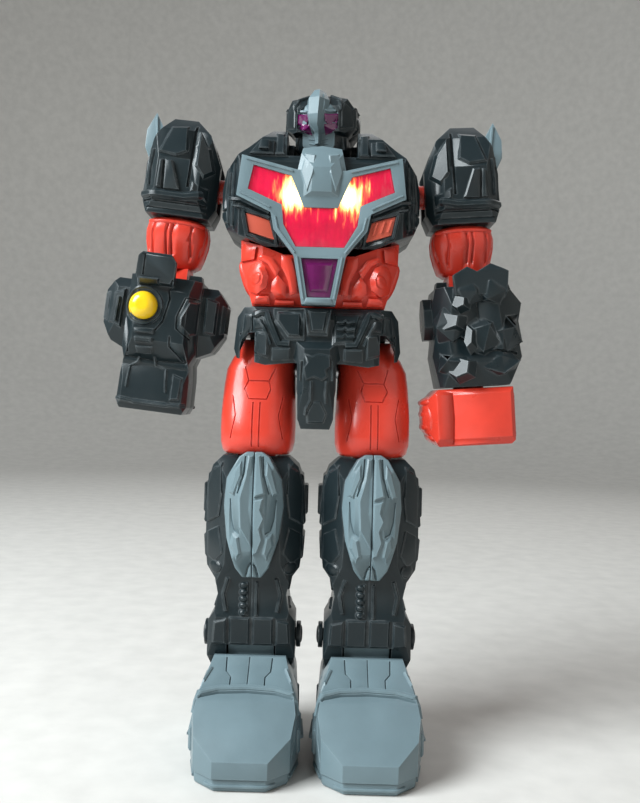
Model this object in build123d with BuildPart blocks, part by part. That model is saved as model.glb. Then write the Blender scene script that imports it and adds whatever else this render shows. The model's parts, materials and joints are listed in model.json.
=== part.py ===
"""A jointed light-up robot figure, 17 cm tall, facing -Y, standing on Z = 0."""

from math import cos, radians, sin
import os

from build123d import *

os.makedirs("parts", exist_ok=True)

# Where the figure's own centre line stands, so that its bounding box is centred on the origin
centre_x = 1.1
centre_y = 9.6

# Shells, pins and running clearances
reach = 200
wall = 1.8
bore_clear = 0.08
pin_radius = 1.6
screw_radius = 1.1
screw_head_radius = 2.1
screw_head_height = 1.6

# Heights and places of the joints
leg_x = 15.0
ankle_z = 28.0
knee_z = 67.0
hip_z = 98.0
waist_z = 113.5
shoulder_x = 36.5
shoulder_z = 145.0
elbow_drop = 32.0
wrist_drop = 50.2
arm_tilt = {"right": 6.0, "left": 4.5}
head_turn = -10.0
side_sign = {"right": -1, "left": 1}

# Waist, neck and shoulder pegs
waist_radius = 6.0
waist_flange_radius = 8.0
neck_radius = 3.5
neck_flange_radius = 5.0
peg_radius = 3.1
peg_flange_radius = 4.4
barrel_radius = 4.6
barrel_half_width = 4.5
wrist_radius = 4.0

# Lights, cells and buttons
cell_radius = 5.8
cell_height = 5.4
led_radius = 2.5
led_x = 6.7
led_z = 140.7
button_radius = 3.6
button_x = 4.6

# Ankle knuckle on the foot
knuckle_radius = 6.8

figure = Plane(origin=(centre_x, centre_y, 0))
head_axes = (cos(radians(head_turn)), sin(radians(head_turn)), 0)
head = Plane(origin=figure.origin, x_dir=head_axes, z_dir=(0, 0, 1))


# ---------------------------------------------------------------- shared shapes


def views(frame):
    """The sketch planes of a frame seen from the front, the side and above."""
    front = Plane(origin=frame.origin, x_dir=frame.x_dir, z_dir=-frame.y_dir)
    side = Plane(origin=frame.origin, x_dir=frame.y_dir, z_dir=frame.x_dir)
    return front, side, frame


def mirrored(half):
    """A closed outline from its half with x >= 0, which is listed along the edge."""
    return half + [(-x, y) for x, y in reversed(half) if x > 0]


def flipped(points, sign):
    """An outline with its x turned to the figure's right (-1) or left (1) side."""
    return [(sign * x, y) for x, y in points]


def form(frame, front, side, top, inset=0.0):
    """The solid that has these three outlines: (x, z), (y, z) and (x, y)."""
    modes = (Mode.ADD, Mode.INTERSECT, Mode.INTERSECT)
    with BuildPart() as body:
        for plane, outline, mode in zip(views(frame), (front, side, top), modes):
            with BuildSketch(plane):
                Polygon(*outline, align=None)
                if inset:
                    offset(amount=-inset, kind=Kind.INTERSECTION)
            extrude(amount=reach, both=True, mode=mode)
    return body.part


def prism(plane, outline, start, end):
    """An outline on a plane, extruded from one height above the plane to another."""
    with BuildPart() as body:
        with BuildSketch(plane.offset(start)):
            Polygon(*outline, align=None)
        extrude(amount=end - start)
    return body.part


def block(frame, x, y, z):
    """A box from three ranges."""
    return prism(frame, [(x[0], y[0]), (x[1], y[0]), (x[1], y[1]), (x[0], y[1])], *z)


def rod(plane, centre, radius, start, end):
    """A round bar along the plane's normal."""
    with BuildPart() as body:
        with BuildSketch(plane.offset(start)):
            with Locations(centre):
                Circle(radius)
        extrude(amount=end - start)
    return body.part


def facets(centre, radius, count=12):
    """A regular outline whose flats touch a circle, for pockets with flat walls."""
    outer = radius / cos(radians(180 / count))
    steps = [radians(360 * (n + 0.5) / count) for n in range(count)]
    return [(centre[0] + outer * cos(a), centre[1] + outer * sin(a)) for a in steps]


def screw(plane, centre, head_top, length):
    """A pan-head screw driven along -normal, its head's top at a height above the plane."""
    head_base = head_top - screw_head_height
    shank = rod(plane, centre, screw_radius, head_base - length, head_base)
    return shank + rod(plane, centre, screw_head_radius, head_base, head_top)


def screw_hole(plane, centre, head_top, length):
    """The counterbored hole for that screw."""
    head_base = head_top - screw_head_height
    shank = rod(plane, centre, screw_radius + 0.05, head_base - length - 0.5, head_base)
    return shank + rod(plane, centre, screw_head_radius + 0.15, head_base, head_top + 12)


def save(part, name):
    part.label = name
    export_step(part, f"parts/{name}.step")


front_view, side_view, _ = views(figure)
back_view = Plane(origin=figure.origin, x_dir=-figure.x_dir, z_dir=figure.y_dir)


# ---------------------------------------------------------------- pelvis

pelvis_form = form(
    figure,
    mirrored([(0, 99.5), (6.5, 99.5), (13, 98.8), (20.6, 100.6), (21.4, 103), (20.6, 111),
        (18.8, waist_z), (0, waist_z)]),
    [(-13.6, 98), (-14.6, 104), (-14.6, 110.5), (-12.4, waist_z), (10, waist_z), (11.6, 111),
        (11.6, 101), (10.4, 98)],
    mirrored([(0, -14.6), (13.5, -14.6), (21.4, -8.5), (21.4, 7), (17, 11.6), (0, 11.6)]),
)
core_form = form(
    figure,
    mirrored([(0, 90), (4.6, 90), (5.0, 93), (5.0, 103), (0, 103)]),
    [(-12.8, 102), (-12.8, 92.5), (-9, 90.5), (8.5, 90.5), (10, 92), (10, 102)],
    mirrored([(0, -14), (5.2, -14), (5.2, 11), (0, 11)]),
)
flap_form = form(
    figure,
    mirrored([(0, 83), (3.6, 83), (4.5, 85.5), (4.9, 99.2), (6.3, 101), (6.3, 104), (3.4, 106), (0, 106)]),
    [(-13.6, 106), (-16.4, 103), (-16.4, 93), (-14.6, 83), (-12.2, 83), (-12.2, 92.8), (-10.5, 95),
        (-10.5, 106)],
    mirrored([(0, -16.4), (3.2, -16.4), (6.4, -13.6), (6.4, -9), (0, -9)]),
)
buckle_form = form(
    figure,
    mirrored([(0, 106.4), (2.5, 106.4), (3.5, 113.2), (0, 113.2)]),
    [(-13, 106.4), (-15.6, 106.4), (-16.2, 112), (-15.4, 113.2), (-12.6, 113.2), (-13, 110)],
    mirrored([(0, -16.2), (3.6, -16.2), (3.6, -12), (0, -12)]),
)
pelvis_screw_spots = [(0, 104.6), (0, 93.2)]
pelvis_screw_heights = [10.6, 8.6]
pelvis_screw_length = 14

pelvis_hollows = [
    block(figure, (side * 5.0, side * 19.8), (-12.8, 9.8), (85, 107)) for side in (-1, 1)
]
hip_cutout = prism(side_view, facets((0, hip_z), 8.6), -23, 23)
pelvis_hollows.append(prism(figure, facets((0, 0), 8.6), 108.6, 111.6))
pelvis_hollows.append(rod(figure, (0, 0), waist_radius + bore_clear, 111, 114))
pelvis_hollows.append(rod(side_view, (0, hip_z), 2.02, -6, 6))
for spot, height in zip(pelvis_screw_spots, pelvis_screw_heights):
    pelvis_hollows.append(screw_hole(back_view, spot, height, pelvis_screw_length))


def pelvis_half(keep):
    """One half of the pelvis, parted on the plane through the hip axle."""
    with BuildPart() as shell:
        add(pelvis_form)
        add(hip_cutout, mode=Mode.SUBTRACT)
        for hollow in pelvis_hollows[:2]:
            add(hollow, mode=Mode.SUBTRACT)
        add(core_form)
        if keep == Keep.TOP:
            add(flap_form)
            add(buckle_form)
        for hollow in pelvis_hollows[2:]:
            add(hollow, mode=Mode.SUBTRACT)
        split(bisect_by=front_view, keep=keep)
    return shell.part


save(pelvis_half(Keep.TOP), "pelvis_front")
save(pelvis_half(Keep.BOTTOM), "pelvis_back")

with BuildPart() as hip_axle:
    with BuildSketch(side_view.offset(-18)):
        with Locations((0, hip_z)):
            Circle(2.0)
    extrude(amount=36)
save(hip_axle.part, "hip_axle")

with BuildPart() as pelvis_screws:
    for spot, height in zip(pelvis_screw_spots, pelvis_screw_heights):
        add(screw(back_view, spot, height, pelvis_screw_length))
save(pelvis_screws.part, "pelvis_screws")


# ---------------------------------------------------------------- torso

chest_top = 151.2
collar_top = 158.6
collar_bore = 8.0
v_edge = [(0, 126.5), (9, 126.8), (20.4, 131)]
chest_form = form(
    figure,
    mirrored(
        v_edge
        + [(23.8, 133), (25.3, 136.5), (25.3, 143.5), (24.2, 148), (20.8, 151.5), (18.4, 153.4)]
        + [(12.6, 159), (9, 159), (9, chest_top), (0, chest_top)]
    ),
    [(-11.5, 126.5), (-16, 130.5), (-16, 149.5), (-12.5, 156.5), (-9, 159), (7, 159), (12.5, 153),
        (14, 144), (14, 134), (11.5, 126.5)],
    mirrored([(0, -16), (20.5, -16), (25.3, -9), (25.3, 8), (20, 14), (0, 14)]),
)
abdomen_form = form(
    figure,
    mirrored([(0, 113.8), (16.8, 113.8), (20.2, 125)] + v_edge[::-1]),
    [(-11, 113.8), (-13, 117), (-13, 132), (11.2, 132), (11.2, 117), (9.5, 113.8)],
    mirrored([(0, -13), (14.5, -13), (20.4, -7.5), (20.4, 6.5), (16, 11.2), (0, 11.2)]),
)
window_upper_outline = mirrored(
    [(0, 128), (6, 128), (9.2, 133.5), (9.7, 138.3), (18.2, 142), (16.9, 148), (7.5, 145.5),
        (4.2, 137.8), (0, 137.8)]
)
window_lower_outline = mirrored([(0, 115.6), (2.9, 115.6), (4.6, 125.3), (0, 125.3)])
light_opening = mirrored([(0, 130), (5, 130), (8, 134.5), (8.6, 139.6), (15, 142.6), (14.2, 145.4),
    (9, 144), (5.4, 136.6), (0, 136.6)])
frame_outline = mirrored(
    [(0, 113.9), (4.2, 113.9), (6.5, 126), (11.6, 132.2), (12.4, 136.4), (21, 140.4), (19.8, 150.4),
        (6, 147), (0, 147)]
)
vent_outline = [(11.2, 129.8), (17.7, 131.6), (18.7, 136.5), (12.6, 134.6)]
door_outline = mirrored([(0, 130), (10, 130), (10.6, 131), (10.6, 142), (9.6, 143), (3, 143),
    (3, 147), (0, 147)])
torso_screw_spots = [(-21.4, 136), (21.4, 136), (-13.4, 154), (13.4, 154), (-16.7, 120), (16.7, 120)]
torso_screw_heights = [11.4, 11.4, 10.6, 10.6, 9.6, 9.6]
torso_screw_length = 14
door_screw_height = 13.6

torso_screw_holes = [
    screw_hole(back_view, spot, height, torso_screw_length)
    for spot, height in zip(torso_screw_spots, torso_screw_heights)
]
chest_hollows = [
    block(figure, (-18, 18), (-13.8, 11.8), (125, 149)),
    rod(figure, (0, 0), neck_radius + 0.05, 148, 152),
    rod(side_view, (0, shoulder_z), peg_radius + bore_clear, -26, 26),
    rod(side_view, (0, shoulder_z), peg_flange_radius + bore_clear, -21.3, 21.3),
]


def chest_half(keep):
    """One half of the chest, parted on the plane through the shoulder pegs."""
    with BuildPart() as shell:
        add(chest_form)
        for hollow in chest_hollows:
            add(hollow, mode=Mode.SUBTRACT)
        if keep == Keep.TOP:
            with BuildSketch(front_view.offset(13)):
                Polygon(*light_opening, align=None)
            extrude(amount=4, mode=Mode.SUBTRACT)
            for side in (-1, 1):
                add(prism(front_view, flipped(vent_outline, side), 14.8, 17), mode=Mode.SUBTRACT)
        else:
            add(block(figure, (-9.5, 9.5), (2, 8.8), (chest_top, collar_top)))
            add(rod(figure, (0, 0), collar_bore, chest_top, collar_top + 1), mode=Mode.SUBTRACT)
            add(block(figure, (-3, 3), (6, 12), (142.8, 149)))
            add(block(figure, (-9, 9), (11, 15), (131.4, 141.6)), mode=Mode.SUBTRACT)
            add(prism(back_view, door_outline, 12.6, 16), mode=Mode.SUBTRACT)
            add(screw_hole(back_view, (0, 145), door_screw_height, 5), mode=Mode.SUBTRACT)
        for hole in torso_screw_holes[:4]:
            add(hole, mode=Mode.SUBTRACT)
        split(bisect_by=front_view, keep=keep)
    return shell.part


def abdomen_half(keep):
    """One half of the abdomen. Its floor is clamped round the waist post."""
    with BuildPart() as shell:
        add(abdomen_form)
        add(block(figure, (-15, 15), (-11, 9.2), (115.8, 133)), mode=Mode.SUBTRACT)
        add(rod(figure, (0, 0), waist_radius + 0.02, 113, 116), mode=Mode.SUBTRACT)
        if keep == Keep.BOTTOM:
            add(block(figure, (-4.3, 4.3), (8, 12), (119, 124.6)), mode=Mode.SUBTRACT)
        for hole in torso_screw_holes[4:]:
            add(hole, mode=Mode.SUBTRACT)
        split(bisect_by=front_view, keep=keep)
    return shell.part


save(chest_half(Keep.TOP), "chest_front")
save(chest_half(Keep.BOTTOM), "chest_back")
save(abdomen_half(Keep.TOP), "abdomen_front")
save(abdomen_half(Keep.BOTTOM), "abdomen_back")

chin_guard = form(
    figure,
    mirrored([(0, 138.4), (4.4, 138.4), (6.3, 146), (4.8, 152.6), (0, 153.4)]),
    [(-16, 138.4), (-19.4, 141.5), (-19.6, 147.5), (-16.6, 153.4), (-13, 153.4), (-13, 151.2),
        (-15.2, 151.2), (-16.01, 149.5)],
    mirrored([(0, -19.6), (2.2, -19.6), (6.3, -17), (6.3, -12), (0, -12)]),
)
with BuildPart() as chest_frame:
    with BuildSketch(front_view.offset(16)):
        Polygon(*frame_outline, align=None)
    extrude(amount=2.2)
    with BuildSketch(front_view.offset(13)):
        Polygon(*mirrored([(0, 113.9), (4.2, 113.9), (6.4, 125.6), (0, 125.6)]), align=None)
    extrude(amount=5)
    add(chin_guard)
    for outline in (window_upper_outline, window_lower_outline):
        add(prism(front_view, outline, 12, 18.4), mode=Mode.SUBTRACT)
save(chest_frame.part, "chest_frame")

with BuildPart() as window_upper:
    with BuildSketch(front_view.offset(16)):
        Polygon(*window_upper_outline, align=None)
    extrude(amount=1.6)
save(window_upper.part, "window_upper")

with BuildPart() as window_lower:
    with BuildSketch(front_view.offset(15)):
        Polygon(*window_lower_outline, align=None)
    extrude(amount=2.4)
save(window_lower.part, "window_lower")

with BuildPart() as side_vents:
    for side in (-1, 1):
        with BuildSketch(front_view.offset(14.8)):
            Polygon(*flipped(vent_outline, side), align=None)
        extrude(amount=1.8)
save(side_vents.part, "side_vents")

with BuildPart() as led_board:
    with BuildSketch(front_view.offset(7.6)):
        with Locations((0, 140.8)):
            Rectangle(26, 13)
            with Locations((-11.5, -5), (11.5, 5)):
                Circle(0.9, mode=Mode.SUBTRACT)
    extrude(amount=1.6)
save(led_board.part, "led_board")

with BuildPart() as leds:
    for side in (-1, 1):
        with BuildSketch(front_view.offset(9.2)):
            with Locations((side * led_x, led_z)):
                Circle(led_radius)
        extrude(amount=4)
    fillet(leds.faces().sort_by(Axis.Y)[:2].edges(), 2)
save(leds.part, "leds")

with BuildPart() as button_cells:
    for start in (-1.5, -0.5, 0.5):
        with BuildSketch(side_view.offset(start * (cell_height + 0.1))):
            with Locations((5, 136.6)):
                Circle(cell_radius)
        extrude(amount=cell_height)
save(button_cells.part, "button_cells")

with BuildPart() as battery_door:
    with BuildSketch(back_view.offset(12.6)):
        Polygon(*door_outline, align=None)
    extrude(amount=1.4)
    add(screw_hole(back_view, (0, 145), door_screw_height, 5), mode=Mode.SUBTRACT)
save(battery_door.part, "battery_door")

with BuildPart() as torso_screws:
    for spot, height in zip(torso_screw_spots, torso_screw_heights):
        add(screw(back_view, spot, height, torso_screw_length))
    add(screw(back_view, (0, 145), door_screw_height, 5))
save(torso_screws.part, "torso_screws")

with BuildPart() as waist_post:
    add(rod(figure, (0, 0), waist_radius, 110, 117.6))
    add(rod(figure, (0, 0), waist_flange_radius, 109.6, 111.3))
    add(rod(figure, (0, 0), waist_flange_radius, 115.9, 117.6))
save(waist_post.part, "waist_post")

with BuildPart() as neck_peg:
    add(rod(figure, (0, 0), neck_radius, 147.2, 160.4))
    add(rod(figure, (0, 0), neck_flange_radius, 147.2, 148.8))
    add(rod(figure, (0, 0), neck_flange_radius, 158.9, 160.4))
save(neck_peg.part, "neck_peg")

with BuildPart() as light_button:
    add(block(figure, (-4, 4), (8.9, 12.9), (119.4, 124.2)))
    chamfer(light_button.faces().sort_by(Axis.Y)[-1].edges(), 0.8)
    add(block(figure, (-5.4, 5.4), (7.6, 8.9), (118, 125.6)))
save(light_button.part, "light_button")


# ---------------------------------------------------------------- head

helmet_form = form(
    head,
    mirrored([(0, 159.4), (6.8, 159.4), (9.3, 161.4), (9.3, 165.8), (7.2, 168.4), (3, 169.6), (0, 169.6)]),
    [(-8.4, 159.4), (-9.2, 161.6), (-8.6, 166), (-5, 169.6), (4, 169.6), (8.6, 166.5), (9.2, 161),
        (8, 159.4)],
    mirrored([(0, -9.2), (5, -9.2), (9.3, -4), (9.3, 4.5), (5.5, 9.2), (0, 9.2)]),
)
jaw_form = form(
    head,
    mirrored([(0, 154), (4.8, 154), (6.8, 156), (6.8, 159.6), (0, 159.6)]),
    [(-5, 154), (-7, 156), (-7, 159.6), (7, 159.6), (7, 156), (5, 154)],
    mirrored([(0, -7), (3, -7), (6.8, -3.2), (6.8, 3.2), (3, 7), (0, 7)]),
)
face_outline = mirrored(
    [(0, 154.2), (2.6, 154.2), (4.2, 156.4), (4.2, 159.4), (5.4, 160.4), (5.4, 164), (3, 166.6), (0, 166.6)]
)
face_form = form(
    head,
    face_outline,
    [(-6, 154.2), (-6.4, 154.6), (-6.9, 159.4), (-9.7, 160.4), (-9.9, 164), (-8, 166.6), (-6, 166.6)],
    mirrored([(0, -9.9), (2, -9.9), (3.2, -8.6), (5.4, -7.6), (5.4, -6), (0, -6)]),
)
crest_form = form(
    head,
    mirrored([(0, 161), (1.2, 161), (2, 166), (1.4, 170.4), (0, 170.4)]),
    [(-9.5, 161), (-10.9, 163.6), (-9.2, 168.8), (-5, 170.4), (4, 170.4), (7, 168.6)]
    + [(5, 167.8), (-6, 167.8), (-7, 166), (-7, 161)],
    mirrored([(0, -11), (2.2, -11), (2.2, 8), (0, 8)]),
)
eye_outline = [(1.7, 158.9), (5.2, 160.1), (5.0, 161.9), (1.9, 160.9)]


def helmet_half(keep):
    """One half of the helmet and jaw, closed round the neck peg's upper flange."""
    with BuildPart() as shell:
        add(helmet_form)
        add(jaw_form)
        add(block(head, (-6.6, 6.6), (-5.4, 6.6), (161.4, 166)), mode=Mode.SUBTRACT)
        add(rod(head, (0, 0), neck_radius + bore_clear, 150, 159), mode=Mode.SUBTRACT)
        add(rod(head, (0, 0), neck_flange_radius + 0.2, 158.7, 161.6), mode=Mode.SUBTRACT)
        add(prism(views(head)[0], face_outline, 6, 12), mode=Mode.SUBTRACT)
        add(crest_form, mode=Mode.SUBTRACT)
        split(bisect_by=views(head)[0], keep=keep)
    return shell.part


save(helmet_half(Keep.TOP), "helmet_front")
save(helmet_half(Keep.BOTTOM), "helmet_back")

with BuildPart() as eye_lenses:
    for side in (-1, 1):
        with BuildSketch(views(head)[0].offset(6.6)):
            Polygon(*flipped(eye_outline, side), align=None)
        extrude(amount=4)
    add(face_form, mode=Mode.INTERSECT)
save(eye_lenses.part, "eye_lenses")

with BuildPart() as face:
    add(face_form)
    add(crest_form)
    add(eye_lenses.part, mode=Mode.SUBTRACT)
save(face.part, "face")


# ---------------------------------------------------------------- arms


def arm_frame(name):
    """The frame of one arm: its origin is the shoulder pivot and its Z runs up the arm."""
    lean = radians(arm_tilt[name]) * side_sign[name]
    pivot = (centre_x + side_sign[name] * shoulder_x, centre_y, shoulder_z)
    return Plane(origin=pivot, x_dir=(cos(lean), 0, sin(lean)), z_dir=(-sin(lean), 0, cos(lean)))


pauldron_front_outline = [(-9.6, -5), (-8.2, -8.2), (8, -8.2), (9.4, -5), (9.6, 4.5), (8.2, 11)]
pauldron_front_outline += [(4.2, 17.6), (-2, 17.8), (-6.4, 13.4), (-9.6, 6)]
pauldron_side_outline = [(-8.5, -8.2), (-10.4, -4), (-10.6, 6), (-8, 14), (-4, 17.8)]
pauldron_side_outline += [(5, 17.8), (9, 13), (10.4, 5), (10.2, -4), (8.5, -8.2)]
pauldron_top_outline = [(-9.6, -6), (-5, -10.6), (6, -10.6), (10.6, -5), (10.6, 5), (6, 10.4),
    (-5, 10.4), (-9.6, 6)]
fin_outline = [(7.4, 4.6), (10.8, 6.2), (14, 12.5), (14.2, 17.5), (12.2, 22.8), (9, 17.5), (6.4, 10)]


def shoulder(name):
    """Shoulder peg, pauldron halves and fin of one arm."""
    sign = side_sign[name]
    frame = arm_frame(name)
    front, _, top = views(frame)
    pivot = (sign * shoulder_x, shoulder_z)

    with BuildPart() as shoulder_peg:
        add(rod(side_view, (0, shoulder_z), peg_radius, sign * 19.4, sign * (shoulder_x - 3)))
        add(rod(side_view, (0, shoulder_z), peg_flange_radius, sign * 19.4, sign * 21.1))
        add(rod(front_view, pivot, barrel_radius, -barrel_half_width, barrel_half_width))
        add(rod(front_view, pivot, pin_radius + bore_clear, -6, 6), mode=Mode.SUBTRACT)
    save(shoulder_peg.part, f"{name}_shoulder_peg")

    outlines = (flipped(pauldron_front_outline, sign), pauldron_side_outline,
        flipped(pauldron_top_outline, sign))
    outer = form(frame, *outlines)
    inner = form(frame, *outlines, inset=wall)
    fin = form(
        frame,
        flipped(fin_outline, sign),
        [(8.6, 4), (11.6, 8), (12, 16), (10.6, 23), (9.6, 23), (8.2, 14)],
        flipped([(4, 6), (15, 6), (15, 14), (4, 14)], sign),
    )
    slot = block(frame, (sign * -12, sign * -3), (-3.6, 3.6), (-5, 11.6))
    for part_name, keep in (("front", Keep.TOP), ("back", Keep.BOTTOM)):
        facing = 1 if keep == Keep.TOP else -1
        with BuildPart() as pauldron:
            add(outer)
            add(inner, mode=Mode.SUBTRACT)
            add(slot, mode=Mode.SUBTRACT)
            add(rod(top, (0, 0), 5.1, -10, -5.6), mode=Mode.SUBTRACT)
            add(rod(front, (0, 0), 3, facing * (barrel_half_width + 0.2), facing * 9.5))
            add(rod(front, (0, 0), pin_radius, 0, facing * 9.5))
            add(fin, mode=Mode.SUBTRACT)
            split(bisect_by=front, keep=keep)
        save(pauldron.part, f"{name}_pauldron_{part_name}")
    save(fin, f"{name}_shoulder_fin")


def upper_arm(name):
    """Upper arm, which turns in the pauldron's floor, and its elbow pin."""
    sign = side_sign[name]
    frame = arm_frame(name)
    _, side, top = views(frame)
    pin_end = 14 if name == "right" else 8.5
    sleeve = form(
        frame,
        flipped([(-7.4, -8.6), (-8.4, -12), (-7.6, -18.6), (-4.4, -21), (4.4, -21), (8, -18.6),
            (8.6, -12), (7.6, -8.6)], sign),
        [(-7, -8.6), (-7.8, -11.5), (-5, -19), (-5, -21), (5, -21), (7.6, -16), (7.8, -11.5), (7, -8.6)],
        flipped([(-8.6, -4), (-4.5, -8), (4.5, -8), (8.6, -4), (8.6, 4), (4.5, 8), (-4.5, 8),
            (-8.6, 4)], sign),
    )
    tongue_outline = [(-5, -20), (-5, -elbow_drop), (-3.6, -elbow_drop - 3.6), (0, -elbow_drop - 5.2)]
    tongue_outline += [(3.6, -elbow_drop - 3.6), (5, -elbow_drop), (5, -20)]
    with BuildPart() as arm:
        add(sleeve)
        add(prism(side, tongue_outline, -4.4, 4.4))
        add(rod(top, (0, 0), 5, -9, -5.2))
        add(rod(top, (0, 0), 6.4, -6.3, -5.2))
        add(rod(side, (0, -elbow_drop), pin_radius + bore_clear, -6, 6), mode=Mode.SUBTRACT)
    save(arm.part, f"{name}_upper_arm")

    with BuildPart() as elbow_pin:
        with BuildSketch(side.offset(-pin_end)):
            with Locations((0, -elbow_drop)):
                Circle(pin_radius)
        extrude(amount=2 * pin_end)
    save(elbow_pin.part, f"{name}_elbow_pin")


for arm_name in ("right", "left"):
    shoulder(arm_name)
    upper_arm(arm_name)

# The pocket round the upper arm's tongue is wide enough for the elbow's whole bend
elbow_pocket = [(-10.8, -19), (-5.6, -elbow_drop), (-4.2, -36.4), (0, -38), (4.2, -36.4),
    (5.6, -elbow_drop), (5.8, -19)]


def blaster():
    """The right forearm: a blaster with side pods, a raised plate and a fire button."""
    sign = side_sign["right"]
    frame = arm_frame("right")
    front, side, top = views(frame)
    body = form(
        frame,
        flipped(
            [(-9.2, -24.4), (-9.6, -43), (-8.4, -46), (-8.9, -50), (-9.1, -57), (-8.1, -59)]
            + [(8.1, -59), (9.1, -57), (8.9, -50), (8.4, -46), (9.6, -43), (9.2, -24.4)],
            sign,
        ),
        [(-10, -24.4), (-11.2, -28), (-11.2, -41), (-8.4, -47.6), (-9.6, -51), (-9.6, -57), (-8, -59)]
        + [(8, -59), (9.4, -57), (9.4, -51), (8.4, -47.6), (10, -42), (10, -28), (7.6, -24.4)],
        mirrored([(0, -11.2), (6.6, -11.2), (9.8, -7), (9.8, 6), (6.4, 10), (0, 10)]),
    )
    pods = form(
        frame,
        mirrored([(0, -25.4), (13, -25.4), (15.9, -29), (15.9, -37.5), (13.2, -42), (9, -44), (0, -44)]),
        [(-4.5, -25.4), (-6.8, -28), (-6.8, -38), (-4, -44), (4, -44), (6.8, -38), (6.8, -28),
            (4.5, -25.4)],
        mirrored([(0, -6.8), (12.6, -6.8), (15.9, -4), (15.9, 4), (12.6, 6.8), (0, 6.8)]),
    )
    plate = form(
        frame,
        flipped([(-2.6, -27), (-2.8, -21), (-1.4, -19.2), (5.8, -19.2), (6.8, -20.4), (7.2, -25),
            (6, -27)], sign),
        [(-10.6, -27), (-13, -26.4), (-14.6, -20), (-14, -18.6), (-12.9, -18.6), (-11.2, -24.6),
            (-9.8, -25.2)],
        flipped([(-4, -15), (8, -15), (8, -9), (-4, -9)], sign),
    )
    hollows = [
        prism(side, elbow_pocket, -4.7, 4.7),
        rod(side, (0, -elbow_drop), pin_radius + 0.02, -14.2, 14.2),
        block(frame, (-7.4, 7.4), (-7, 7.4), (-49, -40.5)),
        prism(top, facets((0, 0), 5.4, 8), -60, -54),
        rod(front, (sign * button_x, -32.4), button_radius + bore_clear, 7, 13),
        prism(front, facets((sign * button_x, -32.4), 4.4, 10), 6.9, 9.3),
    ]
    for part_name, keep in (("front", Keep.TOP), ("back", Keep.BOTTOM)):
        with BuildPart() as shell:
            add(body)
            add(pods)
            add(plate)
            for hollow in hollows:
                add(hollow, mode=Mode.SUBTRACT)
            split(bisect_by=front, keep=keep)
        save(shell.part, f"blaster_{part_name}")

    with BuildPart() as button:
        with BuildSketch(front.offset(9)):
            with Locations((sign * button_x, -32.4)):
                Circle(button_radius)
        extrude(amount=4.8)
        fillet(button.faces().sort_by(Axis.Y)[0].edges(), 2.6)
        with BuildSketch(front.offset(8.1)):
            with Locations((sign * button_x, -32.4)):
                Circle(4.2)
        extrude(amount=1)
    save(button.part, "blaster_button")


def gauntlet():
    """The left forearm: a faceted gauntlet, and the fist that turns on its wrist peg."""
    frame = arm_frame("left")
    front, side, top = views(frame)
    body = form(
        frame,
        [(-8.4, -24.4), (-9.4, -29), (-8.8, -36), (-9.8, -42), (-8.4, -wrist_drop), (9.4, -wrist_drop)]
        + [(13.6, -43), (12.4, -36), (14.2, -29), (9.6, -24.4)],
        [(-9.8, -24.4), (-11.4, -29), (-10.4, -38), (-11, -44), (-8.6, -wrist_drop)]
        + [(8.4, -wrist_drop), (9.8, -43), (9.8, -28), (7.6, -24.4)],
        [(-9.8, -6), (-5, -11.4), (7, -11.4), (14.2, -5), (14.2, 4), (8, 9.8), (-6, 9.8), (-9.8, 5)],
    )
    plate = form(
        frame,
        [(-4, -28), (-4.6, -22), (-1, -20), (1.4, -21.4), (5, -19.4), (9.4, -21.6), (9, -28)],
        [(-10, -28), (-13.2, -27), (-14.4, -21), (-13.6, -19.4), (-12.9, -19.4), (-11.2, -24.6),
            (-9.8, -25.2)],
        [(-5, -15), (10, -15), (10, -9), (-5, -9)],
    )
    hollows = [
        prism(side, elbow_pocket, -4.7, 4.7),
        rod(side, (0, -elbow_drop), pin_radius + 0.02, -8.6, 8.6),
        prism(top, facets((0, 0), wrist_radius + 1.5), -47.4, -44.6),
        rod(top, (0, 0), wrist_radius + bore_clear, -51, -47),
    ]
    for part_name, keep in (("front", Keep.TOP), ("back", Keep.BOTTOM)):
        with BuildPart() as shell:
            add(body)
            add(prism(side, facets((0, -elbow_drop), 5.4, 8), -11.4, -8))
            add(plate)
            for hollow in hollows:
                add(hollow, mode=Mode.SUBTRACT)
            split(bisect_by=front, keep=keep)
        save(shell.part, f"gauntlet_{part_name}")

    fist_top = -wrist_drop - 0.4
    with BuildPart() as fist:
        add(
            form(
                frame,
                [(-9, fist_top), (-12.2, -53.6), (-12.2, -61), (-9.4, -65.4), (9.4, -65.4),
                    (10.4, -64.4), (10.4, fist_top)],
                [(-8, fist_top), (-9.2, -52), (-9.2, -63.4), (-7.6, -65.4), (7, -65.4), (8.6, -63),
                    (8.6, -52), (7.6, fist_top)],
                [(-12.2, -5.4), (-9.6, -9.2), (9.4, -9.2), (10.4, -8), (10.4, 7.4), (8.6, 8.6),
                    (-9.6, 8.6), (-12.2, 5)],
            )
        )
        add(rod(top, (0, 0), wrist_radius, -52, -45))
        add(rod(top, (0, 0), wrist_radius + 1.2, -46.8, -45))
    save(fist.part, "fist")


blaster()
gauntlet()


# ---------------------------------------------------------------- legs


def leg_frame(name):
    """The frame of one leg: its origin is on the floor under the leg's joints."""
    return Plane(origin=(centre_x + side_sign[name] * leg_x, centre_y, 0))


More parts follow.
